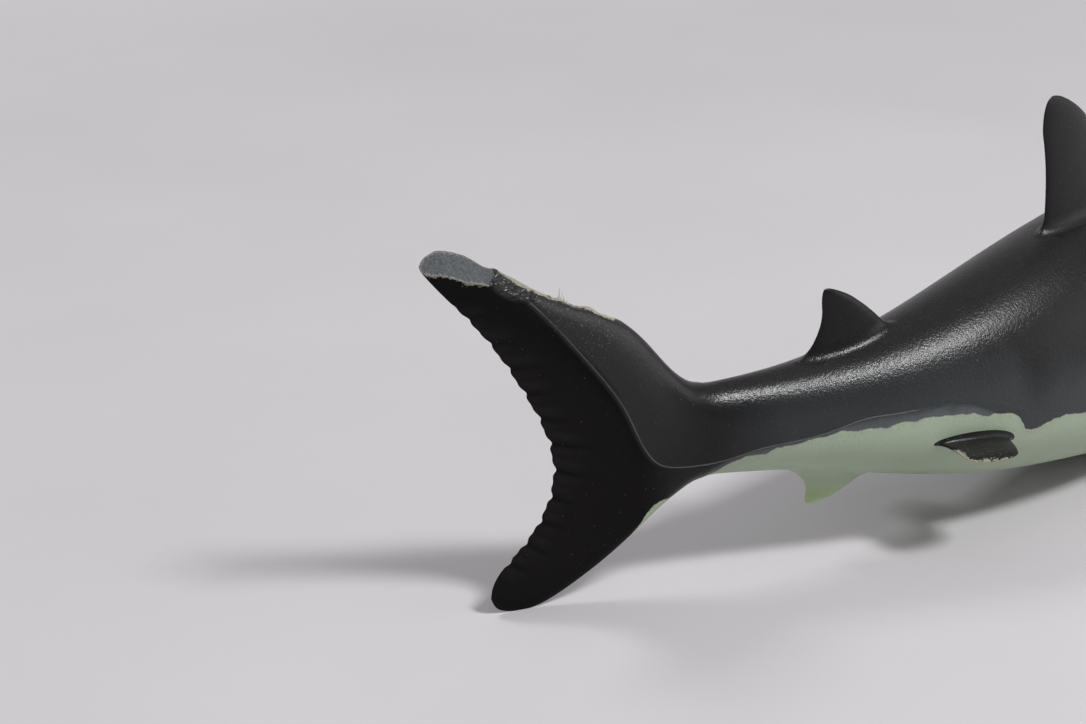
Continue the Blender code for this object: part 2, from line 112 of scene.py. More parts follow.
def value_noise(points: Array, size: float, seed: int = 0) -> Array:
    """Smooth noise from -1 to 1: hashed corners of a cubic lattice, blended by smoothstep.

    Args:
        points: (n, 3) places.
        size: Width of a lattice cell, in the points' unit.
        seed: Picks another pattern.

    Returns:
        One value for each point.
    """
    grid = points / size + seed * 17.31
    cell = np.floor(grid).astype(np.int64)
    share = grid - cell
    share = share**2 * (3 - 2 * share)
    total = np.zeros(len(points))
    for corner in range(8):
        offset = np.array([corner & 1, corner >> 1 & 1, corner >> 2 & 1])
        key = ((cell + offset) * [73856093, 19349663, 83492791]).sum(1) ^ (seed * 2654435761)
        key = (key ^ (key >> 13)) * 1274126177
        height = ((key ^ (key >> 16)) & 0xFFFF) / 32767.5 - 1
        total += height * np.prod(np.where(offset, share, 1 - share), axis=1)
    return total


def curve_through(points: Pairs, count: int = 600) -> tuple[Array, Array]:
    """Smooth plane curve through points, by splines of both coordinates over chord length.

    Args:
        points: The points, in order.
        count: Points of the returned curve.

    Returns:
        The curve's points, and their shares of its length.
    """
    knots = np.array(points, float)
    chord = np.concatenate([[0], np.cumsum(np.linalg.norm(np.diff(knots, axis=0), axis=1))])
    fine = np.linspace(0, chord[-1], count)
    curve = np.stack([spline(np.column_stack([chord, knots[:, i]]), fine) for i in (0, 1)], -1)
    length = np.concatenate([[0], np.cumsum(np.linalg.norm(np.diff(curve, axis=0), axis=1))])
    return curve, length / length[-1]


def curve_at(points: Pairs, share: Array) -> Array:
    """Points at shares of the length of the smooth curve through the given ones."""
    curve, length = curve_through(points)
    return np.stack([np.interp(share, length, curve[:, i]) for i in (0, 1)], -1)


def length_of(curve: Array) -> float:
    """Sum of the steps between a curve's points."""
    return np.linalg.norm(np.diff(curve, axis=0), axis=1).sum()


def distance_to(curve: Array, points: Array) -> tuple[Array, Array, Array]:
    """Nearest point of a plane curve to each point.

    Args:
        curve: (m, 2) points of the curve.
        points: (n, 2) points.

    Returns:
        Distance, side (1 left of the curve's run, -1 right of it), and the nearest point's share.
    """
    nearest = np.empty(len(points), np.int64)
    for start in range(0, len(points), 8192):
        part = points[start:start + 8192]
        nearest[start:start + 8192] = ((part[:, None] - curve[None])**2).sum(-1).argmin(1)
    run = np.gradient(curve, axis=0)[nearest]
    gap = points - curve[nearest]
    side = np.sign(run[:, 0] * gap[:, 1] - run[:, 1] * gap[:, 0])
    return np.linalg.norm(gap, axis=1), side, nearest / (len(curve) - 1)


@dataclass(frozen=True)
class Spine:
    """Plan curve of the body: straight behind the snout, then swung to the left.

    The heading turns by smoothstep between two places, and the curve is its integral.
    """

    length: float = 180.0
    swing_start: float = 55.0
    swing_end: float = 188.0
    swing_angle: float = 31.0

    def heading(self, place: Array) -> Array:
        """How far the body has turned at a place, in radians."""
        return math.radians(self.swing_angle) * smoothstep(self.swing_start, self.swing_end, place)

    def directions(self, place: Array) -> tuple[Array, Array]:
        """Unit vectors backwards and to the left at a place."""
        turn = np.asarray(self.heading(np.asarray(place, float)))
        level = np.zeros_like(turn)
        back = np.stack([-np.cos(turn), np.sin(turn), level], -1)
        left = np.stack([np.sin(turn), np.cos(turn), level], -1)
        return back, left

    def point(self, place: Array) -> Array:
        """Plan position at a place, from the snout's point at zero."""
        fine = np.linspace(-20.0, self.length + 90.0, 1200)
        back, _ = self.directions(fine)
        steps = (back[1:] + back[:-1]) / 2 * np.diff(fine)[:, None]
        path = np.concatenate([np.zeros((1, 3)), np.cumsum(steps, axis=0)])
        start = [np.interp(0.0, fine, path[:, i]) for i in range(3)]
        return np.stack([np.interp(place, fine, path[:, i] - start[i]) for i in range(3)], -1)

    def locate(self, points: Array) -> tuple[Array, Array]:
        """Place and leftward offset of points, by Newton steps along the spine.

        Args:
            points: (n, 3) positions from the snout.

        Returns:
            The place behind the snout and the offset to the left.
        """
        place = -points[:, 0]
        for _ in range(8):
            back, _ = self.directions(place)
            gap = points - self.point(place)
            place = place + (gap[:, :2] * back[:, :2]).sum(1)
        _, left = self.directions(place)
        gap = points - self.point(place)
        return place, (gap[:, :2] * left[:, :2]).sum(1)


@dataclass(frozen=True)
class Trunk:
    """Rings of the body from the snout to the tail's root, each two half ellipses."""

    spine: Spine = Spine()
    back_line: Pairs = ((0.0, 28.4), (0.02, 32.2), (0.065, 36.4), (0.14, 41.4), (0.235, 46.0), (0.36, 50.3),
                        (0.475, 50.5), (0.58, 48.6), (0.695, 44.2), (0.805, 39.2), (0.905, 36.0), (1.0, 35.0))
    belly_line: Pairs = ((0.0, 27.6), (0.02, 24.0), (0.065, 18.6), (0.14, 10.8), (0.235, 3.6), (0.34, -0.5),
                         (0.475, 1.9), (0.58, 5.2), (0.695, 8.7), (0.805, 13.3), (0.905, 17.3), (1.0, 19.2))
    width_line: Pairs = ((0.0, 0.3), (0.02, 4.0), (0.065, 7.9), (0.14, 12.2), (0.235, 16.0), (0.36, 19.2),
                         (0.475, 19.2), (0.58, 17.8), (0.695, 15.0), (0.805, 11.0), (0.905, 7.2), (1.0, 4.9))
    widest_line: Pairs = ((0.0, 28.0), (0.065, 28.2), (0.14, 26.6), (0.235, 24.6), (0.36, 23.6),
                          (0.58, 24.6), (0.805, 26.4), (1.0, 27.1))

    def lines(self, place: Array) -> tuple[Array, Array, Array, Array]:
        """Height of the back and belly, half width, and height of the widest line at a place."""
        share = place / self.spine.length
        return tuple(spline(line, share) for line in
                     (self.back_line, self.belly_line, self.width_line, self.widest_line))

    def skin(self, place: Array, angle: Array) -> Array:
        """Points of the smooth skin.

        Each ring is a cosine up and a sine to the left: back - widest above the widest
        line, widest - belly below it, and the half width sideways.

        Args:
            place: Distance behind the snout.
            angle: Turn round the body from the ridge of the back to the left, in radians.

        Returns:
            Positions from the snout, on the ground plane's height.
        """
        place, angle = np.broadcast_arrays(np.asarray(place, float), np.asarray(angle, float))
        back, belly, width, widest = self.lines(place)
        up = np.cos(angle)
        _, left = self.spine.directions(place)
        points = self.spine.point(place) + left * (width * np.sin(angle))[..., None]
        points[..., 2] = widest + np.where(up > 0, back - widest, widest - belly) * up
        return points

    def girth_radius(self, place: Array) -> Array:
        """Mean radius of a ring, which turns angles into millimetres."""
        back, belly, width, _ = self.lines(place)
        return (back - belly) / 4 + width / 2

    def outward(self, place: Array, angle: Array) -> Array:
        """Unit normals, from the cross product of two small steps on the skin."""
        step = 0.02
        along = self.skin(place + step, angle) - self.skin(place - step, angle)
        around = self.skin(place, angle + 0.002) - self.skin(place, angle - 0.002)
        normal = np.cross(around, along)
        normal /= np.maximum(np.linalg.norm(normal, axis=-1, keepdims=True), 1e-9)
        out = self.skin(place, angle) - self.spine.point(place) - [0, 0, 1] * self.lines(place)[3][..., None]
        return normal * np.where((normal * out).sum(-1, keepdims=True) < 0, -1.0, 1.0)


@dataclass(frozen=True)
class HeadMarks:
    """Mouth, gill slits, nostrils and eye sockets, pressed into the skin of the head."""

    mouth_front: float = 11.0
    mouth_corner: float = 26.0
    mouth_corner_angle: float = 112.0
    mouth_depth: float = 1.0
    mouth_width: float = 0.62
    gill_count: int = 5
    gill_first: float = 38.0
    gill_pitch: float = 3.4
    gill_top: float = 66.0
    gill_bottom: float = 112.0
    gill_depth: float = 0.75
    gill_width: float = 0.42
    nostril_place: float = 7.5
    nostril_angle: float = 116.0
    eye_place: float = 16.5
    eye_angle: float = 74.0
    eye_radius: float = 2.0
    eye_proud: float = 0.7

    def depth(self, trunk: Trunk, place: Array, angle: Array) -> Array:
        """How deep the skin is pressed in.

        A groove is a bell curve of the distance to its line, f / |grad f|. Each gill adds
        a step behind it that fades over 2 mm, so its flap seems to overlap.

        Args:
            trunk: The skin.
            place: Distance behind the snout.
            angle: Turn from the ridge, in radians, either way round.

        Returns:
            Depth along the inward normal.
        """
        turn = np.degrees(np.abs((angle + math.pi) % (2 * math.pi) - math.pi))
        radius = np.maximum(trunk.girth_radius(place), 1.0)
        run = np.clip((180 - turn) / (180 - self.mouth_corner_angle), 0, 1.4)
        line = self.mouth_front + (self.mouth_corner - self.mouth_front) * run**1.7
        slope = (self.mouth_corner - self.mouth_front) * 1.7 * run**0.7 / (180 - self.mouth_corner_angle)
        gap = (place - line) / np.sqrt(1 + (np.degrees(slope) / radius)**2)
        lips = np.exp(-(gap / self.mouth_width)**2) * self.mouth_depth
        lips += 0.45 * smoothstep(0.0, 0.8, gap) * np.exp(-np.clip(gap, 0, None) / 3.0)
        total = lips * smoothstep(1.08, 0.94, run)
        for i in range(self.gill_count):
            top, bottom = self.gill_top + 3 * i, self.gill_bottom - 3 * i
            share = np.clip((turn - top) / (bottom - top), 0, 1)
            gap = place - (self.gill_first + self.gill_pitch * i - 1.6 * np.sin(math.pi * share))
            ends = np.sin(math.pi * share)**0.6
            slit = self.gill_depth * np.exp(-(gap / self.gill_width)**2)
            flap = 0.22 * smoothstep(0.0, 0.6, gap) * np.exp(-np.clip(gap, 0, None) / 1.4)
            total = total + (slit + flap) * ends
        aside = np.radians(turn - self.nostril_angle) * radius
        total += 0.7 * np.exp(-((place - self.nostril_place) / 1.1)**2 - (aside / 0.5)**2)
        aside = np.radians(turn - self.eye_angle) * radius
        ring = np.hypot(place - self.eye_place, aside) - self.eye_radius
        total += 0.38 * np.exp(-(ring / 0.5)**2)
        return total


@dataclass(frozen=True)
class TailFin:
    """The tail fin: a patch between four edges, thick at the root and the upper lobe.

    Side-view coordinates are (behind the tail's root, above the ground).
    """

    trunk: Trunk = Trunk()
    upper_edge: Pairs = ((0.0, 35.0), (2.9, 37.0), (10.2, 45.0), (16.4, 50.1), (23.6, 53.4), (31.4, 57.6),
                         (38.5, 62.0), (46.0, 66.0), (52.2, 68.4))
    lower_edge: Pairs = ((0.0, 19.2), (5.2, 15.7), (13.3, 9.1), (24.3, 2.1), (30.2, 0.0), (33.8, 0.1),
                         (36.2, 1.1), (37.2, 3.0))
    trailing_edge: Pairs = ((37.2, 3.0), (36.9, 4.8), (34.8, 8.2), (30.7, 12.6), (27.8, 17.0), (26.1, 23.4),
                            (26.8, 28.7), (31.0, 38.0), (37.3, 48.0), (45.2, 57.4), (48.8, 61.9), (52.2, 68.4))
    edge_half_thickness: float = 0.55
    lobe_half_thickness: float = 3.2
    blade_thinning: float = 2.4
    upper_thinning: float = 0.15
    lower_thinning: float = 0.8
    ray_count: int = 11
    ray_start: float = 7.0
    ray_pitch: float = 4.1
    ray_growth: float = 0.09
    ray_length: float = 9.5
    ray_tip_length: float = 5.5
    ray_drop: float = 38.0
    ray_drop_step: float = 3.8
    ray_depth: float = 0.6
    ray_width: float = 0.42
    notch: float = 0.8
    slice_place: tuple[float, float] = (36.0, 60.2)
    slice_rise_back: float = 0.23
    slice_rise_left: float = 0.98
    chew_start: float = 19.0
    chew_end: float = 45.0
    chew_depth: float = 0.8
    blade_step: float = 0.28
    ridge_half_thickness: float = 4.3
    ridge_width: float = 9.0
    tip_swelling: float = 0.35
    melted_spot: tuple[float, float] = (34.0, 58.0)
    seam_curve: Pairs = ((36.4, 60.0), (28.5, 52.1), (20.6, 42.9), (13.3, 32.5), (10.0, 25.6), (7.2, 22.75),
                         (4.6, 22.3), (0.0, 22.4))

    def outline(self, across: Array, along: Array) -> Array:
        """Side view: a Coons patch, the sum of two ruled surfaces less their bilinear corner term.

        Args:
            across: 0 on the lower edge to 1 on the upper one.
            along: 0 at the root to 1 at the trailing edge.

        Returns:
            Side-view coordinates.
        """
        low, high = curve_at(self.lower_edge, along), curve_at(self.upper_edge, along)
        trailing = curve_at(self.trailing_edge, across)
        root_low, root_high = np.array(self.lower_edge[0]), np.array(self.upper_edge[0])
        w, u = np.asarray(across)[..., None], np.asarray(along)[..., None]
        root = (1 - w) * root_low + w * root_high
        tips = (1 - w) * np.array(self.trailing_edge[0]) + w * np.array(self.trailing_edge[-1])
        return (1 - w) * low + w * high + (1 - u) * root + u * trailing - (1 - u) * root - u * tips

    def half_thickness(self, across: Array, along: Array) -> Array:
        """Half thickness: a power of 1 - along that is blunt at the lobes and sharp between them."""
        side = 2 * across - 1
        lobe = np.where(side > 0, self.upper_thinning, self.lower_thinning)
        thinning = self.blade_thinning + (lobe - self.blade_thinning) * (1 - (1 - side**2)**2)
        root = self.trunk.width_line[-1][1]
        core = root + (self.lobe_half_thickness - root) * along
        flat = self.edge_half_thickness + (core - self.edge_half_thickness) * (1 - along)**thinning
        return flat * np.sqrt(np.clip(1 - np.abs(side)**(2 + 10 * along), 0, 1))

    def rays(self) -> tuple[Array, Array, Array]:
        """Outer end, inward direction, and (length, strength) of each pressed ray and faint one between."""
        total = length_of(curve_through(self.trailing_edge)[0])
        index = np.arange(0, self.ray_count - 0.4, 0.5)
        place = (self.ray_start + self.ray_pitch * index + self.ray_growth * index**2) / total
        outer = curve_at(self.trailing_edge, place)
        drop = np.radians(self.ray_drop - self.ray_drop_step * index + 3.0 * np.sin(index * 2.3))
        inward = np.stack([-np.cos(drop), -np.sin(drop)], -1)
        middle = 1 - np.abs(2 * index / (self.ray_count - 1) - 1)
        length = self.ray_tip_length + (self.ray_length - self.ray_tip_length) * middle
        length *= 0.85 + 0.15 * np.sin(index * 1.7)
        strength = np.where(index % 1 == 0, 0.55 + 0.45 * middle, 0.22)
        return outer, inward, np.stack([length, strength], -1)

    def press(self, outline: Array) -> tuple[Array, Array, Array]:
        """Depth of the rays at points of the side view, and how far they pull the edge in.

        Each ray is a bell curve of the distance to its line, which fades towards its inner end.

        Args:
            outline: (n, 2) side-view coordinates.

        Returns:
            Depth on each face, an (n, 2) shift of the outline, and how much of a point is
            the swollen ridge beside a ray.
        """
        depth, shift, ridge = np.zeros(len(outline)), np.zeros_like(outline), np.zeros(len(outline))
        for outer, inward, (length, strength) in zip(*self.rays()):
            gap = outline - outer
            run = gap @ inward
            off = gap @ np.array([-inward[1], inward[0]])
            fade = smoothstep(1.0, 0.15, run / length) * (run > -2.5)
            depth = np.maximum(depth, strength * self.ray_depth * np.exp(-(off / self.ray_width)**2) * fade)
            ridge = np.maximum(ridge, (strength > 0.3) * np.exp(-((np.abs(off) - 1.5) / 1.2)**2) * fade)
            pull = np.exp(-(off / (1.7 * self.ray_width))**2 - np.clip(run, 0, None) / 1.6)
            pull = self.notch * strength * pull
            shift += pull[:, None] * inward * (np.abs(run) < 6)[:, None]
        return depth, shift, ridge

    @staticmethod
    def crest_axes(outline: Array) -> tuple[Array, Array]:
        """Side-view points measured along the crest of the lobe, which rises by 31 degrees, and across."""
        return outline @ [0.86, 0.51], outline @ [-0.51, 0.86]

    def melt_distance(self, outline: Array) -> Array:
        """Distance of side-view points to the melted spot, which is drawn out along the crest."""
        lengthwise, crosswise = self.crest_axes(outline - self.melted_spot)
        return np.hypot(lengthwise * 0.6, crosswise * 1.1)

    def place(self, outline: Array, aside: Array) -> Array:
        """Position of side-view points moved to the left by aside."""
        spine = self.trunk.spine
        back, left = spine.directions(spine.length)
        points = spine.point(spine.length) + outline[..., :1] * back + aside[..., None] * left
        points[..., 2] = outline[..., 1]
        return points

    def side_view(self, points: Array) -> tuple[Array, Array]:
        """Side-view coordinates and leftward offset of positions, the reverse of place()."""
        spine = self.trunk.spine
        back, left = spine.directions(spine.length)
        gap = points - spine.point(spine.length)
        return np.stack([gap @ back, points[:, 2]], -1), gap @ left

    def rings(self, around: Array, along: Array) -> Array:
        """All rings of the fin as one array.

        Args:
            around: (m,) turns round a ring from its upper edge to the left.
            along: (r,) places from the root to the trailing edge.

        Returns:
            (r, m, 3) positions.
        """
        turn, u = np.meshgrid(around, along)
        round_across = (1 + np.cos(turn)) / 2
        even_across = np.abs(1 - turn / math.pi)
        across = round_across + (even_across - round_across) * 0.75 * np.minimum(1.0, 2 * u)
        flat_across, flat_along = across.ravel(), u.ravel()
        outline = self.outline(flat_across, flat_along)
        before = self.outline(flat_across, flat_along * 0.98)
        reach = np.linalg.norm(outline - before, axis=1) / np.maximum(0.02 * flat_along, 1e-4)
        to_edge = np.where(flat_along > 0.5, (1 - flat_along) * reach, FAR)
        thick = self.half_thickness(flat_across, flat_along)
        depth, shift, _ = self.press(outline)
        lip = np.sqrt(1 - (1 - np.clip(to_edge / 0.6, 0.012, 1))**2)
        line, _ = curve_through(self.seam_curve)
        gap, which, _ = distance_to(line, outline)
        swollen = smoothstep(53.0, 60.0, outline[:, 1]) * smoothstep(50.0, 41.0, outline[:, 0])
        thick = thick * (1 + self.tip_swelling * swollen)
        past_root = smoothstep(0.0, 9.0, outline[:, 0])
        inner = np.clip(-gap * which, 0, None)
        curve, _ = curve_through(self.upper_edge)
        below_crest, _, _ = distance_to(curve, outline)
        ridge = (self.ridge_half_thickness - 0.03 * outline[:, 0]) * np.sqrt(
            1 - (1 - np.clip(below_crest / self.ridge_width, 0, 1))**2)
        swell = 1 - (1 - np.clip(inner / 6.0, 0, 1))**2
        thick = thick + (ridge - thick) * swell * past_root
        dent = depth + self.blade_step * smoothstep(0.5, -0.15, -gap * which) * past_root
        aside = (thick - np.minimum(dent, 0.62 * thick)) * lip * np.sign(np.round(np.sin(turn), 9)).ravel()
        run = flat_along * length_of(curve)
        crest = np.hypot((1 - flat_across) * 30.0, aside)
        chewed = smoothstep(self.chew_start, self.chew_start + 4, run)
        chewed *= smoothstep(self.chew_end, self.chew_end - 3, run)
        spot = np.column_stack([run, aside, np.zeros_like(aside)])
        bite = 0.5 + 0.35 * value_noise(spot, 2.6, 3) + 0.3 * value_noise(spot, 1.1, 5)
        bite = np.clip(bite, 0, 1) * chewed * np.exp(-(crest / 1.3)**2) * self.chew_depth
        outline = outline + shift - np.column_stack([bite * -0.45, bite * 0.9])
        soft = np.exp(-(self.melt_distance(outline) / 1.9)**4)
        lengthwise, crosswise = self.crest_axes(outline)
        stretched = np.column_stack([lengthwise * 0.45, crosswise * 1.5, np.sign(aside) * 9])
        folds = value_noise(stretched, 1.15, 21)
        aside = aside + np.sign(aside) * soft * (0.4 * folds - 0.25)
        return self.place(outline, aside).reshape(*across.shape, 3)


@dataclass(frozen=True)
class PaintPlan:
    """Where the black spray ends, where the mould's parting line runs, and where paint is rubbed off."""

    tail: TailFin = TailFin()
    edge_angles: Pairs = ((0.0, 96.0), (12.0, 98.0), (30.0, 103.0), (46.0, 118.0), (62.0, 117.0),
                          (82.0, 106.0), (110.0, 102.4), (119.0, 104.5), (122.5, 106.5), (125.6, 95.0),
                          (128.0, 93.4), (136.0, 89.5), (148.0, 91.8), (156.0, 95.0), (162.0, 101.5),
                          (169.0, 112.0), (176.0, 131.0), (180.0, 160.0))
    strip_width: Pairs = ((0.0, 1.8), (3.0, 2.2), (5.7, 2.8), (7.8, 3.4), (10.3, 3.0), (11.4, 1.9),
                          (13.0, 0.2), (16.0, -1.5), (30.0, -3.0))
    seam_angles: Pairs = ((0.0, 92.0), (46.0, 112.0), (82.0, 100.0), (110.0, 97.0), (119.0, 98.0),
                          (128.0, 86.5), (138.0, 81.0), (147.7, 83.0), (153.0, 84.5), (157.5, 91.5),
                          (162.1, 98.8), (167.1, 103.5), (171.9, 109.8), (177.5, 123.0), (180.0, 126.5))
    seam_start: float = 141.0

    def read(self, points: Array) -> dict[str, Array]:
        """Signed distances in millimetres that the finishes read.

        Args:
            points: (n, 3) positions on the body, from the snout.

        Returns:
            paint (above 0 on black), seam (from the parting line, above 0 below it, and
            stretched where the line fades out), blade (above 0 on the thin part of the tail
            fin, short of its root), band (above 0 between the parting line and the paint's
            edge), wear (from the chewed crest), melt (from the glossy torn bit), behind (from
            the tail's root), and ray, the share of a pressed ray's depth, below 0 on the
            ridges beside it.
        """
        tail, trunk = self.tail, self.tail.trunk
        length = trunk.spine.length
        place, aside = trunk.spine.locate(points)
        back, belly, width, widest = trunk.lines(place)
        rise = points[:, 2] - widest
        rise = rise / np.where(rise > 0, back - widest, widest - belly)
        turn = np.degrees(np.arctan2(np.abs(aside) / width, rise))
        radius = trunk.girth_radius(place)
        paint = np.radians(spline(self.edge_angles, place) - turn) * radius
        band = np.radians(turn - spline(self.seam_angles, place)) * radius
        seam = band * (1 + np.clip(self.seam_start + 5 - place, 0, None) * 0.8)
        behind = place - length
        band -= np.clip(self.seam_start - 5 - place, 0, None) * 0.3
        blade, wear, melt, ray = (np.full(len(points), value) for value in (-FAR, FAR, FAR, 0.0))
        side, off = tail.side_view(points)
        on_tail = (side[:, 0] > 0) & (place > length * 0.9)
        side, off = side[on_tail], off[on_tail]
        lower, _ = curve_through(tail.lower_edge)
        gap, _, _ = distance_to(lower, side)
        paint[on_tail] = np.hypot(gap, off) - spline(self.strip_width, side[:, 0])
        line, _ = curve_through(tail.seam_curve)
        gap, which, _ = distance_to(line, side)
        seam[on_tail] = gap * which
        behind[on_tail] = side[:, 0]
        blade[on_tail] = np.minimum(gap * which, (side[:, 0] - 1.5) * 0.09)
        band[on_tail] = np.minimum(gap * which, 3.0 - 0.4 * side[:, 0])
        upper, share = curve_through(tail.upper_edge)
        gap, _, where = distance_to(upper, side)
        at = np.interp(where, np.linspace(0, 1, len(share)), share) * length_of(upper)
        beyond = np.maximum(tail.chew_start + 2.5 - at, at - tail.chew_end - 3.0)
        centre = 0.4 - 0.8 * smoothstep(29, 34, at)
        reach = 0.35 + 0.35 * smoothstep(31, 25, at)
        wear[on_tail] = np.hypot(gap * 0.8, off - centre) + np.clip(beyond, 0, None) - reach
        melt[on_tail] = tail.melt_distance(side)
        pressed, _, ridge = tail.press(side)
        ray[on_tail] = pressed / tail.ray_depth - ridge
        return {"paint": paint, "seam": seam, "blade": blade, "band": band, "wear": wear, "melt": melt,
                "ray": ray, "behind": behind}


def new_mesh(name: str, points: Array, faces: Sequence[Array]) -> bpy.types.Object:
    """A mesh object at the origin, its millimetre points turned to metres, faces out.

    Args:
        name: The piece's name.
        points: (n, 3) points in the frame, in millimetres.
        faces: Index arrays, each (k, 3) or (k, 4).

    Returns:
        The object, linked to the scene.
    """
    mesh = bpy.data.meshes.new(name)
    mesh.from_pydata((points * METRES).tolist(), [], [face for group in faces for face in group.tolist()])
    mesh.validate()
    piece = bpy.data.objects.new(name, mesh)
    bpy.context.scene.collection.objects.link(piece)
    volume = 0.0
    for group in faces:
        for one, two in zip(range(1, group.shape[1] - 1), range(2, group.shape[1])):
            volume += np.sum(points[group[:, 0]] * np.cross(points[group[:, one]], points[group[:, two]]))
    if volume < 0:
        mesh.flip_normals()
    return piece


def set_attributes(piece: bpy.types.Object, values: dict[str, Array]) -> None:
    """Puts one float attribute for each name on the piece's points."""
    for name, value in values.items():
        layer = piece.data.attributes.new(name, "FLOAT", "POINT")
        layer.data.foreach_set("value", np.ascontiguousarray(value, np.float32))


def points_of(piece: bpy.types.Object) -> Array:
    """The mesh's points in millimetres of the frame."""
    flat = np.empty(len(piece.data.vertices) * 3, np.float32)
    piece.data.vertices.foreach_get("co", flat)
    return flat.reshape(-1, 3).astype(float) / METRES


def grid_faces(rows: int, columns: int, first: int = 0) -> Array:
    """Quads of a grid that closes on itself round its columns."""
    r, c = np.meshgrid(np.arange(rows - 1), np.arange(columns), indexing="ij")
    k = (c + 1) % columns
    quads = np.stack([r * columns + c, r * columns + k, (r + 1) * columns + k, (r + 1) * columns + c], -1)
    return quads.reshape(-1, 4) + first


def finish_piece(piece: bpy.types.Object, *materials: bpy.types.Material,
                 sharp: float = 40.0) -> bpy.types.Object:
    """Materials, smooth shading, and the piece's ties to the frame.

    Args:
        piece: The piece, at the origin.
        materials: Its materials in slot order.
        sharp: Edges above this angle in degrees stay sharp.

    Returns:
        The piece.
    """
    piece.data.materials.clear()
    for made in materials:
        piece.data.materials.append(made)
    piece.data.shade_smooth()
    piece.data.set_sharp_from_angle(angle=math.radians(sharp))
    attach(piece, "root")
    LOG.info("%s: %d points", piece.name, len(piece.data.vertices))
    return piece


@dataclass
class SharkBody:
    """Trunk and tail fin as one closed skin, with the tip of the upper lobe sliced off."""

    plan: PaintPlan = field(default_factory=PaintPlan)
    marks: HeadMarks = field(default_factory=HeadMarks)
    head_rings: int = 130
    rear_rings: int = 74
    tail_rings: int = 92
    ring_points: int = 144
    finer: int = 4
    head_length: float = 60.0
    root_rounding: float = 3.4
    flank_rounding: float = 3.4
    rounded_rings: int = 13

    def round_root(self, grid: Array, root: int) -> Array:
        """Rounds the corner where the trunk meets the tail.

        Each point near it becomes a bell-weighted mean, exp(-(distance / reach)^2), of the
        points before and after it. The reach is wider on the flanks, by the square of the
        sine of the turn, and fades away from the corner.

        Args:
            grid: (r, m, 3) rings on both sides of the corner.
            root: Number of the ring in the corner.

        Returns:
            The rounded rings.
        """
        steps = np.linalg.norm(np.diff(grid, axis=0), axis=2)
        run = np.concatenate([np.zeros((1, steps.shape[1])), np.cumsum(steps, axis=0)])
        turn = np.arange(grid.shape[1]) / grid.shape[1] * 2 * math.pi
        reach = self.root_rounding + self.flank_rounding * np.sin(turn)**2
        fade = np.clip(1 - np.abs(run - run[root]) / (3 * reach), 0.02, 1)
        bell = np.exp(-((run[None] - run[:, None]) / (reach * fade)[:, None])**2)
        bell *= np.gradient(run, axis=0)
        return np.einsum("rkp,kpd->rpd", bell, grid) / bell.sum(axis=1)[..., None]

    def skin(self) -> tuple[Array, list[Array]]:
        """Rings of the trunk and four times finer ones of the tail, joined by a strip of triangles.

        Returns:
            Points from the snout, and the faces.
        """
        tail, trunk = self.plan.tail, self.plan.tail.trunk
        length = trunk.spine.length
        turn = np.arange(self.ring_points) / self.ring_points * 2 * math.pi
        head = self.head_length * (np.arange(1, self.head_rings + 1) / self.head_rings)**1.35
        rear = np.linspace(self.head_length, length, self.rear_rings + 1)[1:-1]
        place, angle = np.meshgrid(np.concatenate([head, rear]), turn, indexing="ij")
        rings = trunk.skin(place, angle)
        rings -= trunk.outward(place, angle) * self.marks.depth(trunk, place, angle)[..., None]
        count = self.ring_points * self.finer
        fine_turn = np.arange(count) / count * 2 * math.pi
        t = np.linspace(0, 1, self.tail_rings)
        along = np.concatenate([1 - (1 - t[:-1])**1.15, 1 - np.array([0.010, 0.006, 0.003, 0.001, 0.0])])
        fin = tail.rings(fine_turn, np.sort(along))
        near = self.rounded_rings
        place, angle = np.meshgrid(rear[-near:], fine_turn, indexing="ij")
        grid = self.round_root(np.concatenate([trunk.skin(place, angle), fin]), near)
        rings[-near:], fin = grid[:near, ::self.finer], grid[near:]
        snout = trunk.skin(np.zeros(1), np.full(1, math.pi / 2)) * [1, 0, 1]
        points = np.concatenate([snout, rings.reshape(-1, 3), fin.reshape(-1, 3)])
        points[:, 2] = np.maximum(points[:, 2], 0.0)
        coarse, start = self.ring_points, 1 + rings.shape[0] * self.ring_points
        j = np.arange(coarse)
        cap = np.stack([np.zeros(coarse, int), 1 + (j + 1) % coarse, 1 + j], -1)
        c0 = start - coarse + j
        c1 = start - coarse + (j + 1) % coarse
        fine = [start + (self.finer * j + k) % count for k in range(self.finer + 1)]
        middle = self.finer // 2
        fans = [(c0, fine[k + 1], fine[k]) for k in range(middle)] + [(c0, c1, fine[middle])]
        fans += [(c1, fine[k + 1], fine[k]) for k in range(middle, self.finer)]
        strip = np.concatenate([np.stack(corners, -1) for corners in fans])
        last, half = start + (fin.shape[0] - 1) * count, count // 2
        j = np.arange(1, half - 1)
        zipped = np.stack([last + j, last + j + 1, last + count - j - 1, last + count - j], -1)
        ends = np.array([[last, last + 1, last + count - 1], [last + half - 1, last + half, last + half + 1]])
        faces = [cap, grid_faces(rings.shape[0], coarse, 1), strip, grid_faces(fin.shape[0], count, start),
                 ends, zipped]
        return points, faces

    def knife(self, snout: Array) -> bpy.types.Object:
        """A block whose lower face is the torn slice: two sheets of noise, stitched at their rim.

        Args:
            snout: The snout's place in the frame.

        Returns:
            The cutter.
        """
        tail = self.plan.tail
        columns, rows = 150, 96
        behind = np.linspace(-9.0, 26.0, columns)
        aside = np.linspace(-11.0, 11.0, rows)
        b, a = np.meshgrid(behind, aside, indexing="ij")
        spot = np.column_stack([b.ravel(), a.ravel(), np.zeros(b.size)])
        grain = sum(depth * value_noise(spot, size, seed)
                    for depth, size, seed in ((0.10, 0.75, 11), (0.06, 0.33, 12), (0.2, 4.0, 13)))
        rise_left = tail.slice_rise_left - 0.55 * smoothstep(6.0, 1.0, b)
        height = tail.slice_place[1] + tail.slice_rise_back * b + rise_left * a
        height = height + grain.reshape(b.shape)
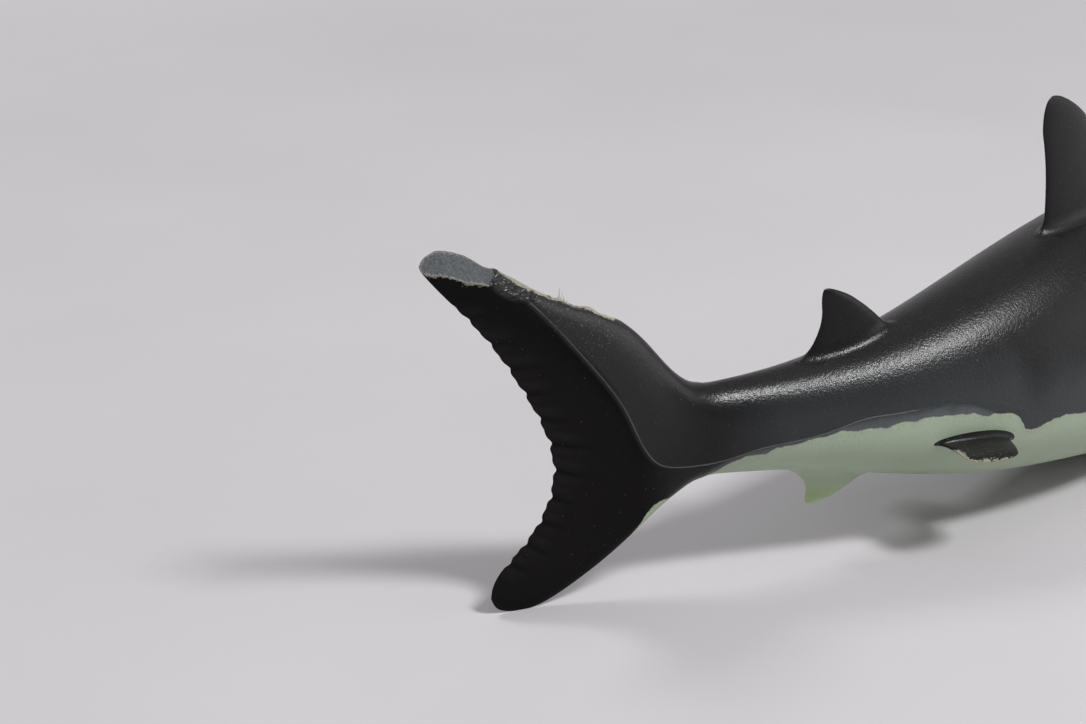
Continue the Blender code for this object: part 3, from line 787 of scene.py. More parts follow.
        # The front end is flatter and lower, a curved step stands before it, and the rear droops.
        height -= 1.1 * smoothstep(5.0, 1.0, b)
        height += 7.6 * smoothstep(0.3, -1.7, b - 0.2 * a**2 + 0.25 * a + 0.2)
        height -= 1.1 * smoothstep(8.5, 12.0, b) + 1.4 * smoothstep(11.0, 14.5, b)
        low = tail.place(np.stack([tail.slice_place[0] + b, height], -1), a)
        high = low + [0, 0, 30.0]
        points = np.concatenate([low.reshape(-1, 3), high.reshape(-1, 3)]) + snout
        r, c = np.meshgrid(np.arange(columns - 1), np.arange(rows - 1), indexing="ij")
        one = r * rows + c
        sheet = np.stack([one, one + 1, one + rows + 1, one + rows], -1).reshape(-1, 4)
        rim = np.concatenate([np.arange(rows), np.arange(1, columns) * rows + rows - 1,
                              (columns - 1) * rows + np.arange(rows - 2, -1, -1),
                              np.arange(columns - 2, 0, -1) * rows])
        near, after = rim, np.roll(rim, -1)
        wall = np.stack([near, near + b.size, after + b.size, after], -1)
        return new_mesh("knife", points, [sheet[:, ::-1], sheet + b.size, wall[:, ::-1]])

    @staticmethod
    def rim_distance(mesh: bpy.types.Mesh, indices: Array, where: Array) -> Array:
        """Distance of each point to the outline of the sliced face, in millimetres.

        Args:
            mesh: The sliced body.
            indices: Material index of each face, 1 on the slice.
            where: The mesh's points.

        Returns:
            The distances, held at FAR away from the slice.
        """
        corners = np.empty(len(mesh.loops), np.int32)
        mesh.loops.foreach_get("vertex_index", corners)
        totals = np.empty(len(mesh.polygons), np.int32)
        mesh.polygons.foreach_get("loop_total", totals)
        which = np.repeat(indices, totals)
        flags = [np.bincount(corners[which == i], minlength=len(where)) > 0 for i in (0, 1)]
        rim = where[flags[0] & flags[1]]
        close = np.flatnonzero(np.linalg.norm(where - rim.mean(0), axis=1) < 22.0)
        distance = np.full(len(where), FAR)
        for start in range(0, len(close), 4096):
            part = close[start:start + 4096]
            distance[part] = np.sqrt(((where[part][:, None] - rim[None])**2).sum(-1).min(1))
        return distance

    def build(self, snout: Array, painted: bpy.types.Material, core: bpy.types.Material) -> bpy.types.Object:
        """Makes, slices and finishes the body.

        Args:
            snout: The snout's place in the frame, in millimetres.
            painted: Finish of the skin.
            core: Finish of the sliced face.

        Returns:
            The finished piece.
        """
        points, faces = self.skin()
        body = new_mesh("shark_skin", points + snout, faces)
        knife = self.knife(snout)
        for piece in (body, knife):
            piece.data.materials.append(painted)
            piece.data.materials.append(core)
        knife.data.polygons.foreach_set("material_index", np.ones(len(knife.data.polygons), np.int32))
        cut = body.modifiers.new("slice", "BOOLEAN")
        cut.object, cut.operation, cut.solver = knife, "DIFFERENCE", "EXACT"
        bpy.context.view_layer.update()
        graph = bpy.context.evaluated_depsgraph_get()
        sliced = bpy.data.meshes.new_from_object(body.evaluated_get(graph))
        body.modifiers.clear()
        body.data = sliced
        sliced.name = "shark_skin"
        bpy.data.objects.remove(knife)
        indices = np.empty(len(sliced.polygons), np.int32)
        sliced.polygons.foreach_get("material_index", indices)
        where = points_of(body)
        values = self.plan.read(where - snout)
        values["rim"] = self.rim_distance(sliced, indices, where)
        values["thin"] = np.zeros(len(where))
        set_attributes(body, values)
        finish_piece(body, painted, core)
        sliced.polygons.foreach_set("material_index", indices)
        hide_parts(NODE)
        return body


@dataclass(frozen=True)
class Fin:
    """Sizes of one fin, in millimetres, placed along the body from the snout."""

    name: str
    side: Side
    coat: Coat
    front: float
    base: float
    span: float
    lean: float
    tip_chord: float
    thickness: float
    fillet: float
    bulge: float
    hollow: float
    angle: float
    lift: float
    sink: float = 2.0
    set_back: float = 0.15
    points: int = 112
    sections: int = 64

    def surface(self, trunk: Trunk) -> tuple[Array, Array, Array]:
        """Grid of the fin: foil sections draped on the skin at the root and rounded at the tip.

        The root flares by a quarter circle, r - r sin t sideways at a height of r - r cos t.

        Args:
            trunk: The skin it grows from.

        Returns:
            (rows, points, 3) positions from the snout, the height of each row, and the turn
            round the section of each column.
        """
        around = np.arange(self.points) / self.points * 2 * math.pi
        chord_share = (1 - np.cos(around)) / 2
        hand = -1 if self.side is Side.RIGHT else 1
        rolled = self.fillet * (1 - np.cos(np.linspace(0, math.pi / 2, 16)))
        swept = self.fillet + (self.span - self.fillet) * np.sin(np.linspace(0, math.pi / 2, self.sections))[1:]
        heights = np.concatenate([[-self.sink, -0.03], rolled[1:], swept])
        rise = np.clip(heights / self.span, 0, 1)[:, None]
        rounding = np.sqrt(np.clip(1 - np.clip((rise - 0.72) / 0.28, 0, None)**2, 0, 1))
        near = np.clip(1 - heights / self.fillet, 0, 1)[:, None]
        flare = self.fillet * (1 - np.sqrt(1 - near**2))
        bow = 4 * rise * (1 - rise)
        front = self.front + self.lean * rise - self.bulge * bow
        rear = self.front + self.base + (self.lean + self.tip_chord - self.base) * rise - self.hollow * bow
        middle = (front + rear) / 2 + (rear - front) * self.set_back * rise**4
        half_chord = (rear - front) / 2 * rounding + flare
        thick = self.thickness / 2 * (1 - 0.62 * rise) * rounding + flare
        place = middle + half_chord * (2 * chord_share - 1)
        aside = thick * np.sin(around) * (1 - 0.35 * chord_share)
        angle, lift = math.radians(self.angle) * hand, math.radians(self.lift)
        foot = trunk.skin(place, angle)
        on_skin = trunk.skin(place, angle + hand * aside / trunk.girth_radius(place)) - foot
        _, left = trunk.spine.directions(place)
        upward = np.array([0.0, 0.0, 1.0])
        out = left * (math.cos(lift) * hand) + upward * math.sin(lift)
        across = left * hand * math.sin(lift) - upward * math.cos(lift)
        blend = smoothstep(0.0, 1.0, heights / self.fillet)[:, None, None]
        points = foot + out * heights[:, None, None] + on_skin * (1 - blend) + across * aside[..., None] * blend
        return points, heights, around

    def chord(self, points: Array) -> Array:
        """Distance from the front to the rear of each section, as a column."""
        return np.linalg.norm(points[:, :1] - points[:, self.points // 2:self.points // 2 + 1], axis=-1)

    def coat_distance(self, points: Array, around: Array) -> Array:
        """Signed distance to the spray's edge: all round, nowhere, or on the upper face only."""
        if self.coat is not Coat.TOP:
            return np.full(points.shape[:2], FAR if self.coat is Coat.ALL else -FAR)
        edge = 1.1 - np.sin(around)[None] * self.chord(points) / 2
        return np.where(edge > 0, edge * 8, edge)

    def edge_distance(self, points: Array, heights: Array, around: Array) -> Array:
        """Distance to the worn outer and trailing edge, for fins whose edge shows bare plastic."""
        if self.coat is not Coat.TOP:
            return np.full(points.shape[:2], FAR)
        outer = np.hypot((self.span - heights)[:, None], 0.6 * np.sin(around))
        trailing = self.chord(points) * (1 + np.cos(around)) / 2 + np.abs(np.sin(around)) * 0.4
        return np.minimum(outer, trailing) - 0.1 + np.clip(0.4 * self.span - heights, 0, None)[:, None]

    def build(self, trunk: Trunk, snout: Array, *materials: bpy.types.Material) -> bpy.types.Object:
        """Makes and finishes the fin.

        Args:
            trunk: The skin it grows from.
            snout: The snout's place in the frame.
            materials: Its finish.

        Returns:
            The finished piece.
        """
        grid, heights, around = self.surface(trunk)
        rows = grid.shape[0]
        points = np.concatenate([grid[:-1].reshape(-1, 3), grid[-1, :1]]) + snout
        points[:, 2] = np.maximum(points[:, 2], 0.0)
        tip, last = (rows - 1) * self.points, (rows - 2) * self.points
        j = np.arange(self.points)
        crown = np.stack([last + j, last + (j + 1) % self.points, np.full(self.points, tip)], -1)
        j = np.arange(1, self.points - 1)
        sole = np.stack([np.zeros(self.points - 2, int), j + 1, j], -1)
        piece = new_mesh(self.name, points, [grid_faces(rows - 1, self.points), crown, sole])
        values = dict.fromkeys(SKIN_VALUES, np.full(len(points), FAR))
        for name, read in (("paint", self.coat_distance(grid, around)),
                           ("wear", self.edge_distance(grid, heights, around))):
            values[name] = np.concatenate([read[:-1].ravel(), read[-1, :1]])
        for name, value in (("blade", -FAR), ("band", -FAR), ("ray", 0.0), ("behind", -2.0)):
            values[name] = np.full(len(points), value)
        # Height share up the fin, which the finish uses to paint light shining through the thin plastic towards
        # the tip.
        values["thin"] = np.repeat(smoothstep(0.0, self.span, heights), self.points)[:len(points)]
        set_attributes(piece, values)
        return finish_piece(piece, *materials, sharp=55.0)


@dataclass(frozen=True)
class Eye:
    """A low glossy dome in the side of the head."""

    marks: HeadMarks
    trunk: Trunk
    side: Side

    def build(self, snout: Array, gloss: bpy.types.Material) -> bpy.types.Object:
        """A sphere of latitude and longitude circles, sunk until it stands a little proud.

        Args:
            snout: The snout's place in the frame.
            gloss: Its finish.

        Returns:
            The finished piece.
        """
        marks, hand = self.marks, self.side.value
        turn = hand * math.radians(marks.eye_angle)
        seat = self.trunk.skin(np.array([marks.eye_place]), np.array([turn]))[0]
        _, left = self.trunk.spine.directions(marks.eye_place)
        centre = seat - left * hand * (marks.eye_radius - marks.eye_proud)
        columns, rows = 64, 33
        latitude = np.linspace(0, math.pi, rows)[1:-1, None]
        longitude = np.arange(columns) / columns * 2 * math.pi
        ball = np.stack(np.broadcast_arrays(np.sin(latitude) * np.cos(longitude),
                                            np.cos(latitude), np.sin(latitude) * np.sin(longitude)), -1)
        ball = np.concatenate([ball.reshape(-1, 3), [[0, 1, 0], [0, -1, 0]]])
        points = ball * marks.eye_radius + centre + snout
        j = np.arange(columns)
        low = (rows - 3) * columns
        north, south = (rows - 2) * columns, (rows - 2) * columns + 1
        caps = [np.stack([np.full(columns, north), (j + 1) % columns, j], -1),
                np.stack([np.full(columns, south), low + j, low + (j + 1) % columns], -1)]
        piece = new_mesh(f"eye_{self.side.name.lower()}", points, [grid_faces(rows - 2, columns), *caps])
        return finish_piece(piece, gloss)


@dataclass(frozen=True)
class TornFibres:
    """Thin threads of plastic pulled out of the chewed edge."""

    tail: TailFin
    count: int = 17
    sides: int = 6
    steps: int = 9
    seed: int = 7

    def build(self, snout: Array, torn: bpy.types.Material) -> bpy.types.Object:
        """Tapered tubes carried along bent lines that leave the crest of the upper lobe.

        Args:
            snout: The snout's place in the frame.
            torn: Their finish.

        Returns:
            The finished piece.
        """
        random = np.random.default_rng(self.seed)
        tail = self.tail
        total = length_of(curve_through(tail.upper_edge)[0])
        start = random.uniform(tail.chew_start + 4, tail.chew_end - 2, self.count)
        start[:6] = random.normal(tail.chew_start + 13.5, 0.9, 6)
        length = random.uniform(0.15, 0.45, self.count)
        length[:6] = (2.0, 1.5, 1.1, 0.8, 0.7, 0.6)
        root = curve_at(tail.upper_edge, start / total)
        aim = random.normal(0.0, 0.5, self.count)
        curl = random.normal(0.0, 0.6, self.count)
        t = np.linspace(0, 1, self.steps)[None, :]
        lean = aim[:, None] + curl[:, None] * t
        behind = root[:, :1] + np.cumsum(np.sin(lean), axis=1) / self.steps * length[:, None]
        height = root[:, 1:] - 0.9 + np.cumsum(np.cos(lean), axis=1) / self.steps * (length[:, None] + 0.5)
        aside = random.normal(-0.1, 0.35, (self.count, 1)) + random.normal(0, 0.5, (self.count, 1)) * t**2
        centre = tail.place(np.stack([behind, height], -1), aside) + snout
        ring = np.arange(self.sides) / self.sides * 2 * math.pi
        radius = (0.1 * (1 - 0.7 * t)).T[None]
        spread = np.stack([np.cos(ring), np.sin(ring), np.zeros(self.sides)], -1)
        tubes = centre[:, :, None] + radius[..., None].reshape(1, self.steps, 1, 1) * spread[None, None]
        points = tubes.reshape(-1, 3)
        size = self.steps * self.sides
        shift = (np.arange(self.count) * size)[:, None, None]
        j = np.arange(1, self.sides - 1)
        fan = np.stack([np.zeros_like(j), j, j + 1], -1)
        one = (grid_faces(self.steps, self.sides), fan[:, ::-1], fan + size - self.sides)
        faces = [(group[None] + shift).reshape(-1, group.shape[1]) for group in one]
        return finish_piece(new_mesh("torn_fibres", points, faces), torn)


def linear(colour: str) -> tuple[float, float, float, float]:
    """sRGB hex turned to linear light: c / 12.92 near black, ((c + 0.055) / 1.055)^2.4 above."""
    parts = [int(colour[i:i + 2], 16) / 255 for i in (1, 3, 5)]
    return (*(c / 12.92 if c <= 0.04045 else ((c + 0.055) / 1.055)**2.4 for c in parts), 1.0)


def add(tree: bpy.types.NodeTree, kind: str, inputs: Optional[dict[Any, Any]] = None, out: Any = 0,
        **settings: Any) -> bpy.types.NodeSocket:
    """Adds one shader node with its settings and links.

    Args:
        tree: The material's nodes.
        kind: Blender's name of the node, without its prefix.
        inputs: Numbers, colours or output sockets for its inputs, by name or number.
        out: Name or number of the output to use.
        settings: Its properties.

    Returns:
        That output.
    """
    made = tree.nodes.new("ShaderNode" + kind)
    for name, value in settings.items():
        setattr(made, name, value)
    for key, value in (inputs or {}).items():
        if isinstance(value, bpy.types.NodeSocket):
            tree.links.new(value, made.inputs[key])
        else:
            made.inputs[key].default_value = value
    return made.outputs[out]


def dressed(material: bpy.types.Material, inputs: dict[str, Any]) -> bpy.types.Material:
    """Sets or links the inputs of a material's Principled shader, and hands the material back."""
    shader = material.node_tree.nodes["Principled BSDF"]
    for name, value in inputs.items():
        if isinstance(value, bpy.types.NodeSocket):
            material.node_tree.links.new(value, shader.inputs[name])
        else:
            shader.inputs[name].default_value = value
    return material


def blank(name: str) -> tuple[bpy.types.Material, Any, bpy.types.NodeSocket]:
    """A material, add() for its nodes, and the object's own coordinates in millimetres."""
    material = bpy.data.materials.new(name)
    material.use_nodes = True
    put = partial(add, material.node_tree)
    place = put("VectorMath", {0: put("TexCoord", out="Object"), "Scale": 1 / METRES}, operation="SCALE")
    return material, put, place


@dataclass(frozen=True)
class SprayedPvc:
    """Soft PVC, pale green, moulded, then sprayed with satin black vinyl paint.

    Moulded PVC is waxy, with a soft gloss and some light under its skin. The paint covers it
    with a masked, slightly wavy edge and a grey overspray beside it, has the sparkle of a fine
    orange peel, and is matt on the fin blade, where it holds dust and takes scuffs. On the
    trunk, the grey near the green edge is partly that spray and partly a painted sheen of the
    floor and wall on the lower flank, stronger towards the front.
    """

    name: str = "sprayed_soft_pvc"
    green: str = "#A9B5A1"
    green_shade: str = "#A1B098"
    # Yellower green: painted light shining through the thin plastic of the fins.
    glow_through_green: str = "#A3B688"
    satin: str = "#0D0D0E"
    matt: str = "#151413"
    # The next two are painted light on the tail's pressed rays: shade in their grooves and a highlight on the
    # ridges beside them.
    groove: str = "#030202"
    ridge: str = "#201F1E"
    settled: str = "#74706D"
    melted: str = "#060606"
    mist_and_sheen: str = "#686D6F"
    dust: str = "#8B8C8E"
    rubbed: str = "#A8A592"
    stained: str = "#6F6C5E"
    parting: str = "#7C7A78"
    flesh: float = 0.15

    def build(self) -> bpy.types.Material:
        """Nodes: distances in mm choose the coat, and noise in mm frays, dusts and scuffs it.

        A row of ramps is: the value, where the ramp starts and ends, its result at the start
        and at the end, and its shape.
        """
        material, put, place = blank(self.name)
        paint, seam, blade, band, wear, melt, rim, thin, ray, behind = (
            put("Attribute", out="Fac", attribute_name=name) for name in SKIN_VALUES)
        # Real spray grain and dust are under 0.1 mm, too fine to show: grain, peel, specks and
        # flakes are drawn 0.2 to 0.9 mm wide instead.
        cloud, grain, peel, patch = (put("TexNoise", {"Vector": place, "Scale": 1 / size, "Detail": detail})
                                     for size, detail in ((3.2, 1.0), (0.5, 2.0), (0.22, 1.0), (9.0, 2.0)))
        wavy = put("Math", {0: cloud, 1: 1.6, 2: paint}, operation="MULTIPLY_ADD")
        frayed = put("Math", {0: grain, 1: 0.3, 2: wavy}, operation="MULTIPLY_ADD")
        frayed = put("Math", {0: frayed, 1: 0.95}, operation="SUBTRACT")
        cells = {"Vector": place, "Scale": 1 / 0.9}
        flakes = {"Vector": place, "Scale": 1 / 0.2}
        cell_tone = put("SeparateColor", {0: put("TexVoronoi", cells, out="Color")})
        level = put("SeparateXYZ", {0: put("NewGeometry", out="Normal")}, out=2)
        ramps = {
            "coated": (frayed, -0.08, 0.1, 0.0, 1.0, "LINEAR"),
            "near_edge": (frayed, 2.4, 0.0, 0.0, 1.0, "SMOOTHSTEP"),
            "in_band": (band, -0.2, 0.5, 0.0, 1.0, "LINEAR"),
            "at_root": (behind, 7.0, -6.0, 0.0, 0.6, "LINEAR"),
            "on_blade": (blade, -0.1, 0.9, 0.0, 1.0, "SMOOTHSTEP"),
            "on_line": (put("Math", {0: seam}, operation="ABSOLUTE"), 0.15, 0.05, 0.0, 1.0, "LINEAR"),
            "kept": (cloud, 0.3, 0.5, 0.6, 1.0, "LINEAR"),
            "spot": (put("TexVoronoi", cells, out="Distance"), 0.11, 0.05, 0.0, 1.0, "LINEAR"),
            "chosen": (cell_tone, 0.72, 0.98, 0.0, 1.0, "LINEAR"),
            "worn": (wear, 2.0, 12.0, 0.84, 1.02, "LINEAR"),
            "scuffed": (grain, 0.45, 0.62, 0.0, 1.0, "LINEAR"),
            "drift": (frayed, -2.0, 0.0, 0.0, 0.3, "SMOOTHSTEP"),
            "drops": (grain, 0.35, 0.75, 0.0, 1.0, "LINEAR"),
            # Share of the painted highlight on the ridges beside the pressed rays.
            "ridge": (ray, -0.1, -0.8, 0.0, 0.4, "LINEAR"),
            "upward": (level, 0.62, 1.0, 0.0, 0.08, "LINEAR"),
            "dusty": (peel, 0.35, 0.6, 0.0, 1.0, "LINEAR"),
            "forward": (put("SeparateXYZ", {0: place}), -45.0, 5.0, 0.0, 1.0, "LINEAR"),
            "near_green_spray_and_sheen": (frayed, 14.0, 1.5, 0.0, 1.0, "SMOOTHSTEP"),
            "on_trunk": (behind, 0.0, -14.0, 0.0, 1.0, "LINEAR"),
            "muscle": (behind, -5.0, 13.0, 0.0, 1.0, "SMOOTHSTEP"),
            "melted": (melt, 2.9, 2.2, 0.0, 1.0, "LINEAR"),
            "satin": (cloud, 0.0, 1.0, 0.22, 0.3, "LINEAR"),
        }
        at = {name: put("MapRange", dict(enumerate(numbers)), interpolation_type=shape)
              for name, (*numbers, shape) in ramps.items()}
        # Grey within 14 mm of the green edge on the trunk, stronger towards the front: partly thinner spray,
        # partly painted sheen of the floor and wall on the lower flank.
        spray_and_sheen_strength = put("MapRange", {"Value": at["forward"], "To Min": 0.18, "To Max": 0.32})
        tone = put("SeparateColor", {0: put("TexVoronoi", flakes, out="Color")}, out=1)
        fleck = put("Math", {0: tone, 1: at["worn"]}, operation="SUBTRACT")
        fleck = put("Mix", {0: at["on_blade"], 2: put("MapRange", {"Value": fleck, "From Max": 0.1}), 3: 0.0})
        misted, on_line, specks, scuffs, drift, dust, thin_spray_and_sheen = (
            put("Math", {0: one, 1: two}, operation="MULTIPLY") for one, two in (
                (at["near_edge"], at["in_band"]), (at["on_line"], at["kept"]), (at["spot"], at["chosen"]),
                (fleck, at["scuffed"]), (at["drift"], at["drops"]), (at["upward"], at["dusty"]),
                (at["near_green_spray_and_sheen"], spray_and_sheen_strength)))
        thin_spray_and_sheen, misted, pale_specks, pale_scuffs, pale_line = (
            put("Math", {0: one, 1: two}, operation="MULTIPLY") for one, two in (
                (thin_spray_and_sheen, at["on_trunk"]), (misted, at["at_root"]), (specks, 0.4), (scuffs, 0.38),
                (on_line, 0.5)))

        green, black = linear(self.green_shade), linear(self.satin)
        # Towards the fin tips the green is mixed with painted light shining through the thin plastic.
        for share, colour in ((patch, self.green), (thin, self.glow_through_green), (drift, self.mist_and_sheen)):
            green = put("Mix", {0: share, 6: green, 7: linear(colour)}, 2, data_type="RGBA")
        # The ray share paints shade into the pressed grooves, and the ridge share paints a highlight on the
        # ridges beside them.
        for share, colour in ((at["on_blade"], self.matt), (ray, self.groove), (at["ridge"], self.ridge),
                              # The grey share near the green edge on the trunk is partly painted floor sheen.
                              (dust, self.settled), (thin_spray_and_sheen, self.mist_and_sheen), (misted, self.mist_and_sheen),
                              (pale_specks, self.dust), (pale_scuffs, self.dust), (pale_line, self.parting),
                              (at["melted"], self.melted)):
            black = put("Mix", {0: share, 6: black, 7: linear(colour)}, 2, data_type="RGBA")
        torn = put("Math", {0: wear, 1: put("Math", {0: rim, 1: 0.45}, operation="ADD")}, operation="MINIMUM")
        for pattern, reach in ((grain, -1.9), (cloud, 2.0)):
            torn = put("Math", {0: pattern, 1: reach, 2: torn}, operation="MULTIPLY_ADD")
        rubbed = put("MapRange", {"Value": torn, "From Min": 0.74, "From Max": 0.52})
        stain = put("Mix", {0: peel, 6: linear(self.rubbed), 7: linear(self.stained)}, 2, data_type="RGBA")
        colour = put("Mix", {0: at["coated"], 6: green, 7: black}, 2, data_type="RGBA")
        colour = put("Mix", {0: rubbed, 6: colour, 7: stain}, 2, data_type="RGBA")

        rough = put("Math", {0: at["forward"], 1: 0.08, 2: at["satin"]}, operation="MULTIPLY_ADD")
        shine = put("MapRange", {"Value": at["muscle"], "To Min": 0.24, "To Max": 0.46})
        for share, value in ((at["muscle"], 0.35), (at["on_blade"], 0.6)):
            rough = put("Mix", {0: share, 2: rough, 3: value})
        rough = put("Mix", {0: at["coated"], 2: 0.46, 3: rough})
        for share, value in ((at["melted"], 0.18), (rubbed, 0.75)):
            rough = put("Mix", {0: share, 2: rough, 3: value})
        for share, value in ((at["on_blade"], 0.05), (at["melted"], 0.6)):
            shine = put("Mix", {0: share, 2: shine, 3: value})

        flat = put("VectorMath", {0: place, 1: (0.3, 0.3, 1.3)}, operation="MULTIPLY")
        folds = put("TexNoise", {"Vector": flat, "Scale": 0.9, "Detail": 2.0})
        pebbles = [put("Math", {0: mask, 1: pattern}, operation="MULTIPLY") for mask, pattern in (
            (at["melted"], folds), (at["melted"], grain), (rubbed, grain))]
        relief = put("Math", {0: grain, 1: 0.055}, operation="MULTIPLY")
        for pattern, height in ((peel, 0.03), (at["coated"], 0.02), (on_line, 0.05), (specks, 0.02),
                                *zip(pebbles, (1.1, 0.2, 0.35))):
            relief = put("Math", {0: pattern, 1: height, 2: relief}, operation="MULTIPLY_ADD")
        bump = put("Bump", {"Height": relief, "Strength": 1.0, "Distance": METRES})
        return dressed(material, {"Base Color": colour, "Roughness": rough, "Normal": bump, "IOR": 1.5,
                                  "Specular IOR Level": shine, "Subsurface Weight": self.flesh,
                                  "Subsurface Radius": (1.0, 1.1, 0.8), "Subsurface Scale": METRES})


@dataclass(frozen=True)
class TornCore:
    """Grey PVC core, cut and pulled through: matt and pebbly, with a pale stretched rim."""

    name: str = "cut_grey_pvc"
    grey: str = "#44474A"
    pale: str = "#646769"
    rim: str = "#82807A"
    pit: str = "#232526"

    def build(self) -> bpy.types.Material:
        """Nodes: mottle in 1 mm patches, pits of half a millimetre, and the rim's own tone."""
        material, put, place = blank(self.name)
        mottle = put("TexNoise", {"Vector": place, "Scale": 1 / 0.45, "Detail": 5.0, "Roughness": 0.7})
        cells = put("TexVoronoi", {"Vector": place, "Scale": 1 / 0.36}, out="Distance")
        share = put("MapRange", {"Value": mottle, "From Min": 0.36, "From Max": 0.7})
        colour = put("Mix", {0: share, 6: linear(self.grey), 7: linear(self.pale)}, 2, data_type="RGBA")
        pits = put("MapRange", {"Value": put("Math", {0: cells, 1: mottle}, operation="MULTIPLY"),
                                "From Min": 0.3, "From Max": 0.42, "To Max": 0.4})
        colour = put("Mix", {0: pits, 6: colour, 7: linear(self.pit)}, 2, data_type="RGBA")
        away = put("Math", {0: mottle, 1: -1.6, 2: put("Attribute", out="Fac", attribute_name="rim")},
                   operation="MULTIPLY_ADD")
        edge = put("MapRange", {"Value": away, "From Min": -0.38, "From Max": -0.62, "To Max": 0.65})
        colour = put("Mix", {0: edge, 6: colour, 7: linear(self.rim)}, 2, data_type="RGBA")
        relief = put("Math", {0: cells, 1: mottle}, operation="ADD")
        bump = put("Bump", {"Height": relief, "Strength": 0.8, "Distance": 0.2 * METRES})
        return dressed(material, {"Base Color": colour, "Roughness": 0.7, "Normal": bump,
                                  "Specular IOR Level": 0.3})


@dataclass(frozen=True)
class EyeEnamel:
    """Gloss black enamel, brushed on by hand: a deep colour with a small hard highlight."""

    name: str = "gloss_black_enamel"
    black: str = "#0B0B0C"
    thin: str = "#1C1B1A"

    def build(self) -> bpy.types.Material:
        """Nodes: brush ripple 1 mm apart, over a smooth coat that is less thick in places."""
        material, put, place = blank(self.name)
        ripple = put("TexNoise", {"Vector": place, "Scale": 1.0, "Detail": 1.0})
        colour = put("Mix", {0: ripple, 6: linear(self.black), 7: linear(self.thin)}, 2, data_type="RGBA")
        bump = put("Bump", {"Height": ripple, "Strength": 0.3, "Distance": 0.05 * METRES})
        return dressed(material, {"Base Color": colour, "Roughness": 0.1, "Normal": bump})


@dataclass(frozen=True)
class TornThreads:
    """Pale PVC pulled into threads: thin, dry and slightly dirty."""

    name: str = "torn_pale_pvc"
    pale: str = "#CDC8B2"
    dirt: str = "#97937F"

    def build(self) -> bpy.types.Material:
        """Nodes: dirt in patches of half a millimetre."""
        material, put, place = blank(self.name)
        patches = put("TexNoise", {"Vector": place, "Scale": 2.0})
        colour = put("Mix", {0: patches, 6: linear(self.pale), 7: linear(self.dirt)}, 2, data_type="RGBA")
        return dressed(material, {"Base Color": colour, "Roughness": 0.7})


